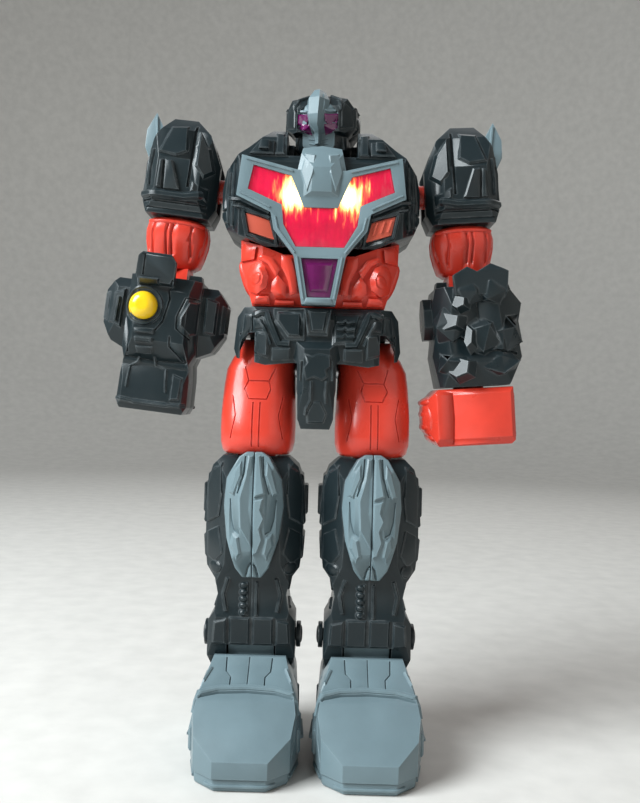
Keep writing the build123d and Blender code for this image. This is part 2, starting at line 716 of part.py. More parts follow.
def thigh(name):
    """Thigh halves, which swing on the hip axle, and the knee pin."""
    sign = side_sign[name]
    frame = leg_frame(name)
    side = views(frame)[1]
    outlines = (
        flipped(
            [(-9.4, 106.2), (-9.4, 92), (-9.6, 88), (-9.6, 82), (-8.6, 76), (8.8, 76), (9.8, 82), (9.8, 88)]
            + [(9.4, 95), (8.4, 99.4), (5.4, 103), (4.6, 106.2)],
            sign,
        ),
        [(-7.4, 94.8), (-9.6, 90), (-12, 84), (-12, 79.5), (-10, 76), (7.4, 76), (9.4, 80), (9.4, 88),
            (7.4, 94.8)]
        + [(8, 98), (5.6, 103.6), (0, 106), (-5.6, 103.6), (-8, 98)],
        mirrored([(0, -12), (5.4, -12), (9.9, -6.5), (9.9, 5.5), (6, 9.4), (0, 9.4)]),
    )
    hollow = form(
        frame,
        mirrored([(0, 77.8), (7, 77.8), (7.8, 82), (7.8, 86), (5.5, 90.5), (0, 90.5)]),
        [(-8.4, 77.8), (-10.2, 80), (-10.2, 84), (-7.4, 90.5), (6.4, 90.5), (7.6, 87), (7.6, 80.5),
            (6.6, 77.8)],
        mirrored([(0, -10.2), (4.6, -10.2), (8, -6), (8, 5), (5.4, 7.6), (0, 7.6)]),
    )
    tongue_outline = [(-6.6, 76.2), (-6.8, knee_z), (-4.8, 62.2), (0, 60.2), (4.8, 62.2), (6.8, knee_z)]
    tongue_outline.append((6.6, 76.2))
    tongue = prism(side, tongue_outline, -5, 5)
    for part_name, keep in (("inner", -sign), ("outer", sign)):
        with BuildPart() as half:
            add(form(frame, *outlines))
            add(hollow, mode=Mode.SUBTRACT)
            add(tongue)
            add(rod(side, (0, hip_z), 2.0 + bore_clear, sign * -10, sign * 3.2), mode=Mode.SUBTRACT)
            add(rod(side, (0, knee_z), pin_radius + bore_clear, -6, 6), mode=Mode.SUBTRACT)
            split(bisect_by=side, keep=Keep.TOP if keep > 0 else Keep.BOTTOM)
        save(half.part, f"{name}_thigh_{part_name}")

    with BuildPart() as knee_pin:
        with BuildSketch(side.offset(-10.5)):
            with Locations((0, knee_z)):
                Circle(pin_radius)
        extrude(amount=21)
    save(knee_pin.part, f"{name}_knee_pin")


def shin(name):
    """Lower leg halves, the knee guard's halves and the ankle pin."""
    frame = leg_frame(name)
    side = views(frame)[1]
    outer = form(
        frame,
        mirrored(
            [(0, 19.4), (10.2, 19.4), (11.4, 24), (11.2, 33), (9.6, 35.5), (8.8, 40), (9.6, 44), (12, 47)]
            + [(12.6, 52), (12.6, 68), (11, 73), (8.4, 75.6), (0, 75.6)]
        ),
        [(-7.6, 75.6), (-11, 70), (-11.6, 62), (-11, 48), (-8.6, 42), (-8.6, 36), (-9.2, 34),
            (-8.4, ankle_z)]
        + [(-7.2, 23.6), (-4.2, 20.6), (0, 19.5), (4.2, 20.6), (7.2, 23.6), (8.4, ankle_z), (8.4, 36),
            (11, 46)]
        + [(12, 54), (9.8, 62.4), (8.4, 66), (7.6, 70.6), (4.2, 74.4), (1, 75.6)],
        mirrored([(0, -11.6), (6.5, -11.6), (12.6, -6), (12.6, 6), (7, 12), (0, 12)]),
    )
    knee_pocket = [(-7.6, 78), (-7.4, knee_z), (-5.2, 61.4), (0, 59.4), (5.2, 61.4), (7.2, 62.6),
        (14, 62.6), (14, 78)]
    ankle_pocket = [(-10, 17), (-9.4, 22), (-7.7, ankle_z), (-5.6, 33.6), (0, 35.8), (5.6, 33.6),
        (7.7, ankle_z), (9.4, 22), (10, 17)]
    calf = form(
        frame,
        mirrored([(0, 37.6), (6.4, 37.6), (7, 44), (10.2, 49), (10.4, 57.4), (0, 57.4)]),
        [(-6.6, 37.6), (-6.6, 42), (-9, 48), (-9.4, 57.4), (9.4, 57.4), (9.6, 54), (8.8, 46), (6.4, 37.6)],
        mirrored([(0, -9.6), (5.6, -9.6), (10.4, -5), (10.4, 5), (6, 9.8), (0, 9.8)]),
    )
    guard = form(
        frame,
        mirrored([(0, 45), (2.4, 45), (4.2, 47.5), (6.6, 55), (7.6, 63), (7, 70), (3.8, 75.6),
            (2, 76.8), (0, 76.8)]),
        [(-10.6, 45), (-12.4, 45), (-15, 52), (-15.8, 62), (-15, 70), (-13.4, 76.8), (-11.2, 76.8)]
        + [(-10.4, 75.6), (-8, 75.6), (-8.6, 73), (-10.4, 70), (-10.6, 60)],
        mirrored([(0, -15.8), (2.4, -15.8), (6, -13.6), (7.8, -11), (7.8, -8), (0, -8)]),
    )
    for part_name, keep in (("inner", -side_sign[name]), ("outer", side_sign[name])):
        with BuildPart() as half:
            add(outer)
            add(prism(side, knee_pocket, -5.3, 5.3), mode=Mode.SUBTRACT)
            add(prism(side, ankle_pocket, -6.3, 6.3), mode=Mode.SUBTRACT)
            add(calf, mode=Mode.SUBTRACT)
            add(guard, mode=Mode.SUBTRACT)
            add(rod(side, (0, knee_z), pin_radius + 0.02, -10.6, 10.6), mode=Mode.SUBTRACT)
            add(rod(side, (0, ankle_z), pin_radius + 0.02, -14, 14), mode=Mode.SUBTRACT)
            split(bisect_by=side, keep=Keep.TOP if keep > 0 else Keep.BOTTOM)
        save(half.part, f"{name}_shin_{part_name}")

    with BuildPart() as knee_guard:
        for keep in (-1, 1):
            add(split(guard, bisect_by=side.offset(0.08 * keep),
                keep=Keep.TOP if keep > 0 else Keep.BOTTOM, mode=Mode.PRIVATE))
    save(knee_guard.part, f"{name}_knee_guard")

    with BuildPart() as ankle_pin:
        add(rod(side, (0, ankle_z), pin_radius, -12.4, 12.4))
        for end in (-1, 1):
            add(rod(side, (0, ankle_z), 3.4, end * 11.5, end * 12.7))
    save(ankle_pin.part, f"{name}_ankle_pin")


def foot(name):
    """The foot's upper, with the ankle knuckle, and its sole."""
    frame = leg_frame(name)
    side = views(frame)[1]
    sole_top = 3.0
    plan = mirrored([(0, -34.6), (6.4, -34.6), (11.4, -29.6), (13.2, -20), (12.4, -4), (11.6, 9),
        (8.6, 13.6), (0, 13.6)])
    upper_form = form(
        frame,
        mirrored([(0, sole_top), (13.2, sole_top), (13.2, 10), (11.8, 17.6), (9.2, 24.4), (0, 24.4)]),
        [(-34.6, sole_top), (-34.6, 9.4), (-30.8, 12.4), (-20, 18), (-12, 22.6), (-9.6, 24.4),
            (9.6, 24.4), (13.6, 21), (13.6, sole_top)],
        plan,
    )
    trough = prism(side, facets((0, ankle_z), 9.0, 24), -16, 16)
    room = form(
        frame,
        mirrored([(0, sole_top - 1), (11.2, sole_top - 1), (11.2, 10), (9.6, 15.6), (0, 15.6)]),
        [(-32.4, sole_top - 1), (-32.4, 8), (-29.6, 10.2), (-19, 15.4), (-13, 15.6), (-9, 15.6),
            (-9, sole_top - 1)],
        mirrored([(0, -32.4), (5.6, -32.4), (9.6, -28.4), (11.2, -19), (10, -5), (0, -5)]),
    )
    with BuildPart() as foot_upper:
        add(upper_form)
        add(trough, mode=Mode.SUBTRACT)
        add(room, mode=Mode.SUBTRACT)
        add(prism(side, facets((0, ankle_z), knuckle_radius, 24), -5.9, 5.9))
        add(block(frame, (-5.9, 5.9), (-5.6, 5.6), (15, ankle_z)))
        add(rod(side, (0, ankle_z), pin_radius + bore_clear, -7, 7), mode=Mode.SUBTRACT)
    save(foot_upper.part, f"{name}_foot_upper")

    with BuildPart() as foot_sole:
        with BuildSketch(frame):
            Polygon(*plan, align=None)
            offset(amount=-0.5, kind=Kind.INTERSECTION)
        extrude(amount=sole_top)
        chamfer(foot_sole.faces().sort_by(Axis.Z)[0].edges(), 0.5)
    save(foot_sole.part, f"{name}_foot_sole")


for leg_name in ("right", "left"):
    thigh(leg_name)
    shin(leg_name)
    foot(leg_name)
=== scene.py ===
"""The visible model of a jointed robot figure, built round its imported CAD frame."""

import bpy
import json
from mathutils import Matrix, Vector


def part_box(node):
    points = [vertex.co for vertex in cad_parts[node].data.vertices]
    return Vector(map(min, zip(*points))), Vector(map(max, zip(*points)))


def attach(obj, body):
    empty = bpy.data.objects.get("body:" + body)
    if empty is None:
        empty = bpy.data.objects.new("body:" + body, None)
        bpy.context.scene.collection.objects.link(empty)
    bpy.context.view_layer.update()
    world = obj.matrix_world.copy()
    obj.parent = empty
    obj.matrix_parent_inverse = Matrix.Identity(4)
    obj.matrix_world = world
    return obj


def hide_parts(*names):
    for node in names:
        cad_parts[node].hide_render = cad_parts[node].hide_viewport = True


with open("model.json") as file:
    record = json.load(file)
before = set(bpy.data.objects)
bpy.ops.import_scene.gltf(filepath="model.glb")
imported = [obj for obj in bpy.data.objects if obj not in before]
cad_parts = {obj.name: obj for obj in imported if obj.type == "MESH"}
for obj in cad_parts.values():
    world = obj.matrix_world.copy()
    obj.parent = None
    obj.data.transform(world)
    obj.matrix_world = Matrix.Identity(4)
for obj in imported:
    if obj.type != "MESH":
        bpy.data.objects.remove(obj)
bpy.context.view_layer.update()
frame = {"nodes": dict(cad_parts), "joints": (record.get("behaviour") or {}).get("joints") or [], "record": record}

import json
import math

import bmesh
import bpy
from mathutils import Matrix, Vector
from mathutils.bvhtree import BVHTree

MM = 0.001
joints = {joint["name"]: joint for joint in frame["joints"]}
SIDES = {"right": -1, "left": 1}


# ---------------------------------------------------------------- places
# A place maps a body's own millimetres, as the CAD drew it, to the frame's metres.


def centre_of(node):
    low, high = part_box(node)
    return (Vector(low) + Vector(high)) / 2


middle = centre_of("waist_post")
TORSO = Matrix.Translation((middle.x, middle.y, 0)) @ Matrix.Scale(MM, 4)
HEAD_TURN = math.radians(-10)
HEAD = TORSO @ Matrix.Rotation(HEAD_TURN, 4, "Z")


def arm_place(name):
    """The arm's frame: the shoulder pivot, with Z along the arm's own turning axis."""
    up = Vector(joints[f"{name}_arm_turn"]["axis"]).normalized()
    across = Vector((0, 1, 0)).cross(up)
    turn = Matrix((across, (0, 1, 0), up)).transposed().to_4x4()
    pivot = Vector(joints[f"{name}_shoulder_lift"]["pos_m"])
    return Matrix.Translation(pivot) @ turn @ Matrix.Scale(MM, 4)


def leg_place(name):
    hip = joints[f"{name}_hip_swing"]["pos_m"]
    return Matrix.Translation((hip[0], hip[1], 0)) @ Matrix.Scale(MM, 4)


ARM = {name: arm_place(name) for name in SIDES}
LEG = {name: leg_place(name) for name in SIDES}


# ---------------------------------------------------------------- camera

CAMERA_DISTANCE = 0.240
CAMERA_HEIGHT = 0.090
CAMERA_ACROSS = 0.0011
CAMERA_ROLL = math.radians(1.6)
SENSOR_MM = 36
LENS_MM = SENSOR_MM * 900 / 803

camera_data = bpy.data.cameras.new("camera")
camera = bpy.data.objects.new("camera", camera_data)
bpy.context.scene.collection.objects.link(camera)
camera_data.sensor_width = SENSOR_MM
camera_data.lens = LENS_MM
camera_data.clip_start = 0.01
camera.location = (middle.x + CAMERA_ACROSS, middle.y - CAMERA_DISTANCE, CAMERA_HEIGHT)
camera.rotation_euler = (math.radians(90), -CAMERA_ROLL, 0)
bpy.context.scene.camera = camera


# ---------------------------------------------------------------- materials


def shader(name):
    """A new material and helpers to add and link its nodes."""
    material = bpy.data.materials.new(name)
    material.use_nodes = True
    nodes = material.node_tree.nodes
    links = material.node_tree.links
    surface = nodes["Principled BSDF"]

    def add(kind, **values):
        node = nodes.new(kind)
        for key, value in values.items():
            if key in node.inputs:
                node.inputs[key].default_value = value
            else:
                setattr(node, key, value)
        return node

    return material, surface, add, links.new


def shade(colour, factor):
    return tuple(min(1, channel * factor) for channel in colour) + (1,)


def noise_value(add, link, coordinates, scale, detail, low=0.0, high=1.0, stretch=None):
    """A noise remapped to a range."""
    source = coordinates.outputs["Object"]
    if stretch:
        mapping = add("ShaderNodeMapping")
        mapping.inputs["Scale"].default_value = stretch
        link(source, mapping.inputs["Vector"])
        source = mapping.outputs["Vector"]
    texture = add("ShaderNodeTexNoise", Scale=scale, Detail=detail)
    link(source, texture.inputs["Vector"])
    spread = add("ShaderNodeMapRange")
    spread.inputs["From Min"].default_value = 0.3
    spread.inputs["From Max"].default_value = 0.7
    spread.inputs["To Min"].default_value = low
    spread.inputs["To Max"].default_value = high
    link(texture.outputs["Fac"], spread.inputs["Value"])
    return spread.outputs["Result"]


FLOW_SCALE = 95
SCUFF_SCALE = 420
GLOSS_SCALE = 160
GRAIN_SCALE = 2600


def plastic(name, colour, rough, worn=1.6, mottle=0.86, coat=0.0, grain=0.05):
    """Moulded plastic: flow mottling, moulding grain, scuffed edges and uneven gloss."""
    material, surface, add, link = shader(name)
    coordinates = add("ShaderNodeTexCoord")
    flow = noise_value(add, link, coordinates, FLOW_SCALE, 4)
    base = add("ShaderNodeMix", data_type="RGBA")
    base.inputs["A"].default_value = shade(colour, mottle)
    base.inputs["B"].default_value = shade(colour, 1.08)
    link(flow, base.inputs["Factor"])
    geometry = add("ShaderNodeNewGeometry")
    rounded = add("ShaderNodeBevel", samples=4, Radius=0.0005)
    bend = add("ShaderNodeVectorMath", operation="DOT_PRODUCT")
    link(geometry.outputs["Normal"], bend.inputs[0])
    link(rounded.outputs["Normal"], bend.inputs[1])
    edge = add("ShaderNodeMapRange")
    edge.inputs["From Min"].default_value = 0.995
    edge.inputs["From Max"].default_value = 0.90
    link(bend.outputs["Value"], edge.inputs["Value"])
    scuff = noise_value(add, link, coordinates, SCUFF_SCALE, 5)
    wear = add("ShaderNodeMath", operation="MULTIPLY")
    link(edge.outputs["Result"], wear.inputs[0])
    link(scuff, wear.inputs[1])
    worn_mix = add("ShaderNodeMix", data_type="RGBA")
    worn_mix.inputs["B"].default_value = shade([c * 0.8 + 0.03 for c in colour], worn)
    link(base.outputs["Result"], worn_mix.inputs["A"])
    link(wear.outputs["Value"], worn_mix.inputs["Factor"])
    link(worn_mix.outputs["Result"], surface.inputs["Base Color"])
    link(noise_value(add, link, coordinates, GLOSS_SCALE, 4, *rough), surface.inputs["Roughness"])
    bump = add("ShaderNodeBump", Strength=grain, Distance=0.0002)
    link(noise_value(add, link, coordinates, GRAIN_SCALE, 2), bump.inputs["Height"])
    link(bump.outputs["Normal"], surface.inputs["Normal"])
    surface.inputs["Coat Weight"].default_value = coat
    surface.inputs["Coat Roughness"].default_value = 0.12
    surface.inputs["IOR"].default_value = 1.5
    surface.inputs["Specular IOR Level"].default_value = 0.36
    return material


DARK = plastic("dark_plastic", (0.010, 0.017, 0.020), (0.27, 0.36), worn=2.6, mottle=0.88)
GREY = plastic("grey_plastic", (0.135, 0.190, 0.212), (0.28, 0.38), worn=1.4, mottle=0.92)
RED = plastic("red_plastic", (0.640, 0.046, 0.026), (0.26, 0.36), worn=1.3, coat=0.2, grain=0.03)
ORANGE = plastic("orange_vent", (0.500, 0.085, 0.050), (0.30, 0.40))
YELLOW = plastic("yellow_plastic", (0.820, 0.520, 0.012), (0.14, 0.22), worn=1.2, coat=0.3, grain=0.02)
STEEL = plastic("steel", (0.55, 0.56, 0.57), (0.24, 0.36), worn=1.1)
STEEL.node_tree.nodes["Principled BSDF"].inputs["Metallic"].default_value = 1
BOARD = plastic("circuit_board", (0.02, 0.16, 0.05), (0.35, 0.5))


GLOW_REACH = 0.016
GLOW_STOPS = [
    (0.0, (1, 0.86, 0.45)),
    (0.18, (1, 0.72, 0.22)),
    (0.30, (1, 0.22, 0.05)),
    (0.42, (0.8, 0.015, 0.05)),
]
FALLING = (1, 0.4, 0.35)


def lit_window(name, colour, lamps, glow):
    """Clear tinted plastic, lit from behind by lamps at these points (in metres): their glow is painted on as
    emission, streaked with painted reflections.
    """
    material, surface, add, link = shader(name)
    coordinates = add("ShaderNodeTexCoord")
    # Painted reflections: stretched streaky noise and fine lines break up the painted glow, like reflections off
    # the moulded texture.
    reflection_streaks = noise_value(add, link, coordinates, 340, 3, 0.75, 1.35, stretch=FALLING)
    nearest = None
    for lamp in lamps:
        away = add("ShaderNodeVectorMath", operation="DISTANCE")
        away.inputs[1].default_value = lamp
        link(coordinates.outputs["Object"], away.inputs[0])
        if nearest is None:
            nearest = away.outputs["Value"]
        else:
            least = add("ShaderNodeMath", operation="MINIMUM")
            link(nearest, least.inputs[0])
            link(away.outputs["Value"], least.inputs[1])
            nearest = least.outputs["Value"]
    reflection_strokes = noise_value(add, link, coordinates, 900, 6, 0.72, 1.45, stretch=(1.3, 0.3, 0.22))
    painted_reflections = add("ShaderNodeMath", operation="MULTIPLY")
    link(reflection_streaks, painted_reflections.inputs[0])
    link(reflection_strokes, painted_reflections.inputs[1])
    uneven = add("ShaderNodeMath", operation="MULTIPLY")
    link(nearest, uneven.inputs[0])
    link(painted_reflections.outputs["Value"], uneven.inputs[1])
    ramp = add("ShaderNodeValToRGB")
    scaled = add("ShaderNodeMapRange")
    scaled.inputs["From Max"].default_value = GLOW_REACH
    link(uneven.outputs["Value"], scaled.inputs["Value"])
    link(scaled.outputs["Result"], ramp.inputs["Fac"])
    ramp.color_ramp.elements[0].color = GLOW_STOPS[0][1] + (1,)
    ramp.color_ramp.elements[1].color = colour + (1,)
    for position, stop_colour in GLOW_STOPS[1:]:
        ramp.color_ramp.elements.new(position).color = stop_colour + (1,)
    strength = add("ShaderNodeMapRange", interpolation_type="SMOOTHSTEP")
    strength.inputs["From Max"].default_value = GLOW_STOPS[-1][0]
    strength.inputs["To Min"].default_value = glow[0]
    strength.inputs["To Max"].default_value = glow[1]
    link(scaled.outputs["Result"], strength.inputs["Value"])
    link(ramp.outputs["Color"], surface.inputs["Emission Color"])
    link(strength.outputs["Result"], surface.inputs["Emission Strength"])
    tint = add("ShaderNodeMix", data_type="RGBA")
    tint.inputs["A"].default_value = shade(colour, 0.7)
    tint.inputs["B"].default_value = shade(colour, 1.1)
    link(noise_value(add, link, coordinates, 220, 3), tint.inputs["Factor"])
    link(tint.outputs["Result"], surface.inputs["Base Color"])
    link(noise_value(add, link, coordinates, 500, 2, 0.08, 0.16), surface.inputs["Roughness"])
    bump = add("ShaderNodeBump", Strength=0.25, Distance=0.0004)
    link(noise_value(add, link, coordinates, 520, 1, stretch=FALLING), bump.inputs["Height"])
    link(bump.outputs["Normal"], surface.inputs["Normal"])
    surface.inputs["Coat Weight"].default_value = 0.6
    surface.inputs["Coat Roughness"].default_value = 0.05
    return material


lamp_low, lamp_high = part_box("leds")
LAMP_IN = 2.5 * MM
window_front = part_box("window_upper")[0][1]
lamp_z = (lamp_low[2] + lamp_high[2]) / 2
lamp_points = [(x, window_front, lamp_z) for x in (lamp_low[0] + LAMP_IN, lamp_high[0] - LAMP_IN)]
RED_WINDOW = lit_window("red_window", (0.50, 0.004, 0.038), lamp_points, (6.0, 0.42))
# The purple lens has no lamp behind it: its point at the origin lies far off, so it carries only a faint, even
# painted glow.
PURPLE = lit_window("purple_lens", (0.10, 0.004, 0.065), [(0, 0, 0)], (0.2, 0.10))
LED = lit_window("led_light", (0.9, 0.7, 0.3), lamp_points, (3.0, 2.0))

SLOT_MATERIAL = {
    "dark_plastic": DARK,
    "grey_plastic": GREY,
    "red_plastic": RED,
    "red_window": RED_WINDOW,
    "purple_lens": PURPLE,
    "orange_vent": ORANGE,
    "circuit_board": BOARD,
    "led_light": LED,
    "yellow_plastic": YELLOW,
    "steel": STEEL,
}
NODE_SLOT = {entry["node"]: entry["material_slot"] for entry in frame["record"]["subparts"]}
for node_name, node_object in frame["nodes"].items():
    node_object.data.materials.clear()
    node_object.data.materials.append(SLOT_MATERIAL[NODE_SLOT[node_name]])


# ---------------------------------------------------------------- mesh tools
# Every tool works on a bmesh in a place's millimetres.

FAR = 200  # beyond every piece, in millimetres
NEARLY_THERE = 190  # how far along a ray that misses the nearest skin is looked for
VIEWS = {
    "front": lambda u, v: (Vector((u, -FAR, v)), Vector((0, 1, 0))),
    "back": lambda u, v: (Vector((u, FAR, v)), Vector((0, -1, 0))),
    "plus_x": lambda u, v: (Vector((FAR, u, v)), Vector((-1, 0, 0))),
    "minus_x": lambda u, v: (Vector((-FAR, u, v)), Vector((1, 0, 0))),
    "top": lambda u, v: (Vector((u, v, 2 * FAR)), Vector((0, 0, -1))),
}


def outside(sign):
    """The view from the side that a sign points to."""
    return "plus_x" if sign > 0 else "minus_x"


def from_node(node, place):
    """A CAD node's shape as flat-faced polygons."""
    bm = bmesh.new()
    bm.from_mesh(frame["nodes"][node].data)
    bm.transform(place.inverted())
    bmesh.ops.remove_doubles(bm, verts=bm.verts, dist=0.002)
    bmesh.ops.dissolve_limit(bm, angle_limit=math.radians(1.5), verts=bm.verts, edges=bm.edges)
    return bm


def soften(bm, width, segments=2, angle=24):
    """Rounds every edge that turns by more than an angle."""
    inner = [edge for edge in bm.edges if len(edge.link_faces) == 2]
    sharp = [edge for edge in inner if edge.calc_face_angle(0) > math.radians(angle)]
    round_edges(bm, sharp, width, segments, 0.6)


def round_edges(bm, edges, width, segments, profile):
    bmesh.ops.bevel(bm, geom=edges, offset=width, segments=segments, profile=profile,
                    affect="EDGES", clamp_overlap=True)


def trim(bm, point, normal):
    """Removes what lies beyond a plane and closes the shell again."""
    everything = bm.verts[:] + bm.edges[:] + bm.faces[:]
    bmesh.ops.bisect_plane(bm, geom=everything, plane_co=point, plane_no=normal, clear_outer=True)
    holes = [edge for edge in bm.edges if len(edge.link_faces) == 1]
    bmesh.ops.holes_fill(bm, edges=holes, sides=0)


def temporary(bm):
    """An object for a modifier to work on."""
    mesh = bpy.data.meshes.new("temporary")
    bm.to_mesh(mesh)
    thing = bpy.data.objects.new("temporary", mesh)
    bpy.context.scene.collection.objects.link(thing)
    return thing


def cut(bm, tool):
    """bm cut by a tool of closed shells, which is used up."""
    for mesh in (tool, bm):
        bmesh.ops.recalc_face_normals(mesh, faces=mesh.faces)
    target = temporary(bm)
    cutter = temporary(tool)
    modifier = target.modifiers.new("cut", "BOOLEAN")
    modifier.object = cutter
    modifier.operation = "DIFFERENCE"
    modifier.solver = "EXACT"
    modifier.use_self = True
    graph = bpy.context.evaluated_depsgraph_get()
    result = bpy.data.meshes.new_from_object(target.evaluated_get(graph))
    bm.clear()
    bm.from_mesh(result)
    for thing in (target, cutter):
        bpy.data.meshes.remove(thing.data)
    bpy.data.meshes.remove(result)
    tool.free()


def skin_of(bm):
    """The surface that details are laid on, as it is now."""
    bm.normal_update()
    return BVHTree.FromBMesh(bm)


def hit(skin, view, u, v):
    """Where a ray of a view meets a skin: the point and its outward normal."""
    start, way = VIEWS[view](u, v)
    point, normal, _, _ = skin.ray_cast(start, way)
    if point is None:
        point, normal, _, _ = skin.find_nearest(start + way * NEARLY_THERE)
    if normal.dot(way) > 0:
        normal = -normal
    return point, normal


def add_loop(bm, points):
    return [bm.verts.new(point) for point in points]


def bridge(bm, first, second):
    count = len(first)
    for n in range(count):
        bm.faces.new((first[n], first[(n + 1) % count], second[(n + 1) % count], second[n]))


def cap(bm, loop):
    bm.faces.new(loop)


def loft(bm, sections, closed_ends=True):
    """A skin through loops of equal length."""
    loops = [add_loop(bm, section) for section in sections]
    for first, second in zip(loops, loops[1:]):
        bridge(bm, first, second)
    if closed_ends:
        cap(bm, loops[0])
        cap(bm, loops[-1])
    return loops


def inset(outline, amount):
    """An outline moved inwards by an amount, corner by corner."""
    area = sum(a[0] * b[1] - b[0] * a[1] for a, b in zip(outline, outline[1:] + outline[:1]))
    sign = 1 if area > 0 else -1
    result = []
    count = len(outline)
    for n in range(count):
        before, here, after = (Vector(outline[(n + k) % count]) for k in (-1, 0, 1))
        first = (here - before).normalized()
        second = (after - here).normalized()
        n1 = Vector((-first.y, first.x)) * sign
        n2 = Vector((-second.y, second.x)) * sign
        mitre = n1 + n2
        scale = amount / max(0.35, 1 + n1.dot(n2))
        result.append(tuple(here + mitre * scale))
    return result


def divided(outline, step, closed=True):
    """An outline or line with points added so that none is further than a step apart."""
    pairs = list(zip(outline, outline[1:] + outline[:1] if closed else outline[1:]))
    result = []
    for a, b in pairs:
        a, b = Vector(a), Vector(b)
        parts = max(1, math.ceil((b - a).length / step))
        result += [tuple(a.lerp(b, k / parts)) for k in range(parts)]
    if not closed:
        result.append(tuple(outline[-1]))
    return result


def flip(outline, sign):
    """An outline mirrored for the other side."""
    return [(sign * u, v) for u, v in outline]


def both(half):
    """A closed outline from its half with u >= 0."""
    return half + [(-u, v) for u, v in reversed(half) if u > 0]


PLATE_SINK = 0.6


def plate(bm, skin, outline, lift, rim=0.4, view="front", step=40):
    """A raised panel with a chamfered rim that follows the skin under it."""
    outer = divided(outline, step)
    way = VIEWS[view](0, 0)[1]
    feet = [hit(skin, view, *point)[0] for point in outer]
    base = [foot + way * PLATE_SINK for foot in feet]
    shoulder = [foot - way * max(0.05, lift - rim * 0.7) for foot in feet]
    crown = [hit(skin, view, *point)[0] - way * lift for point in inset(outer, rim)]
    loft(bm, [base, shoulder, crown])


def plates(bm, skin, sign, view, rows):
    """Raised panels from (outline, lift, rim) rows; a sign of -1 mirrors them."""
    for outline, lift, rim in rows:
        plate(bm, skin, flip(outline, sign), lift, rim, view)


def slab(bm, outline, back, front, rim=0.4, view="front"):
    """A chamfered block between two depths along a view; depths are plain coordinates."""
    axis = {"front": 1, "back": 1, "plus_x": 0, "minus_x": 0, "top": 2}[view]
    step = 1 if front > back else -1
    rows = []
    for shape, depth in ((outline, back), (outline, front - step * rim), (inset(outline, rim), front)):
        row = []
        for u, v in shape:
            point = [u, v]
            point.insert(axis, depth)
            row.append(Vector(point))
        rows.append(row)
    loft(bm, rows)


def swept(bm, skin, line, profile, view="front", step=1.0):
    """A strip that follows a line over the skin. profile holds (across, out) pairs."""
    samples = [hit(skin, view, *point) for point in divided(line, step, closed=False)]
    sections = []
    for n, (point, normal) in enumerate(samples):
        ahead = samples[min(n + 1, len(samples) - 1)][0]
        behind = samples[max(n - 1, 0)][0]
        along = (ahead - behind).normalized()
        across = normal.cross(along).normalized()
        sections.append([point + across * a + normal * o for a, o in profile])
    loft(bm, sections)


def groove_profile(width, depth):
    return [(-width / 2, 0.4), (width / 2, 0.4), (width / 5, -depth), (-width / 5, -depth)]


def rib_profile(width, height):
    half = [(width / 2, -0.5), (width / 2, height * 0.45), (width / 4, height)]
    return [(-across, out) for across, out in half] + half[::-1]


def engrave(bm, skin, lines):
    """Cuts panel lines into a piece; each is (points, view, width, depth)."""
    tool = bmesh.new()
    for points, view, width, depth in lines:
        swept(tool, skin, points, groove_profile(width, depth), view, 0.8)
    cut(bm, tool)


def rib(bm, skin, line, width=1.0, height=0.6, view="front", step=1.0):
    swept(bm, skin, line, rib_profile(width, height), view, step)


def ring(centre, radius, count, axis):
    """Points of a circle round an axis (0, 1 or 2)."""
    points = []
    for n in range(count):
        angle = 2 * math.pi * n / count
        pair = [radius * math.cos(angle), radius * math.sin(angle)]
        pair.insert(axis, 0)
        points.append(Vector(centre) + Vector(pair))
    return points


def lathe(bm, centre, axis, steps, count):
    """A turned shape: steps are (distance along the axis, radius)."""
    sections = []
    for along, radius in steps:
        where = Vector(centre)
        where[axis] += along
        sections.append(ring(where, max(radius, 0.01), count, axis))
    loft(bm, sections)


def finish_piece(bm, name, place, body, nodes, slot, smooth=32):
    """Turns a bmesh into a piece that rides on a body and stands for CAD nodes."""
    bmesh.ops.recalc_face_normals(bm, faces=bm.faces)
    bm.transform(place)
    mesh = bpy.data.meshes.new(name)
    bm.to_mesh(mesh)
    bm.free()
    mesh.materials.append(SLOT_MATERIAL[slot])
    mesh.shade_smooth()
    mesh.set_sharp_from_angle(angle=math.radians(smooth))
    piece = bpy.data.objects.new(name, mesh)
    bpy.context.scene.collection.objects.link(piece)
    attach(piece, body)
    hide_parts(*nodes)


BODIES = frame["record"]["behaviour"]["bodies"]
BODY_OF = {node: body for body, members in BODIES.items() for node in members}


def simple(node, place, width=0.5, segments=2, details=None, smooth=32, lines=()):
    """A rounded copy of one CAD node, with panel lines cut and a function that adds its details."""
    bm = from_node(node, place)
    soften(bm, width, segments)
    skin = skin_of(bm)
    if lines:
        engrave(bm, skin, lines)
    if details:
        details(bm, skin)
    finish_piece(bm, node + "_skin", place, BODY_OF[node], [node], NODE_SLOT[node], smooth)


LOBE_RINGS = 4
LOBE_SIDES = 20


def lobe(bm, skin, centre, radii, turn=0.0, height=1.2, view="front"):
    """A rounded pad on the skin: an ellipse in the view, domed outwards."""
    turn = math.radians(turn)
    way = VIEWS[view](0, 0)[1]
    sections = []
    for level in range(-1, LOBE_RINGS):
        angle_up = math.pi / 2 * max(level, 0) / LOBE_RINGS
        row = []
        for n in range(LOBE_SIDES):
            angle = 2 * math.pi * n / LOBE_SIDES
            u = radii[0] * math.cos(angle_up) * math.cos(angle)
            v = radii[1] * math.cos(angle_up) * math.sin(angle)
            u, v = u * math.cos(turn) - v * math.sin(turn), u * math.sin(turn) + v * math.cos(turn)
            foot = hit(skin, view, centre[0] + u, centre[1] + v)[0]
            row.append(foot - way * (-0.5 if level < 0 else height * math.sin(angle_up)))
        sections.append(row)
    loft(bm, sections)


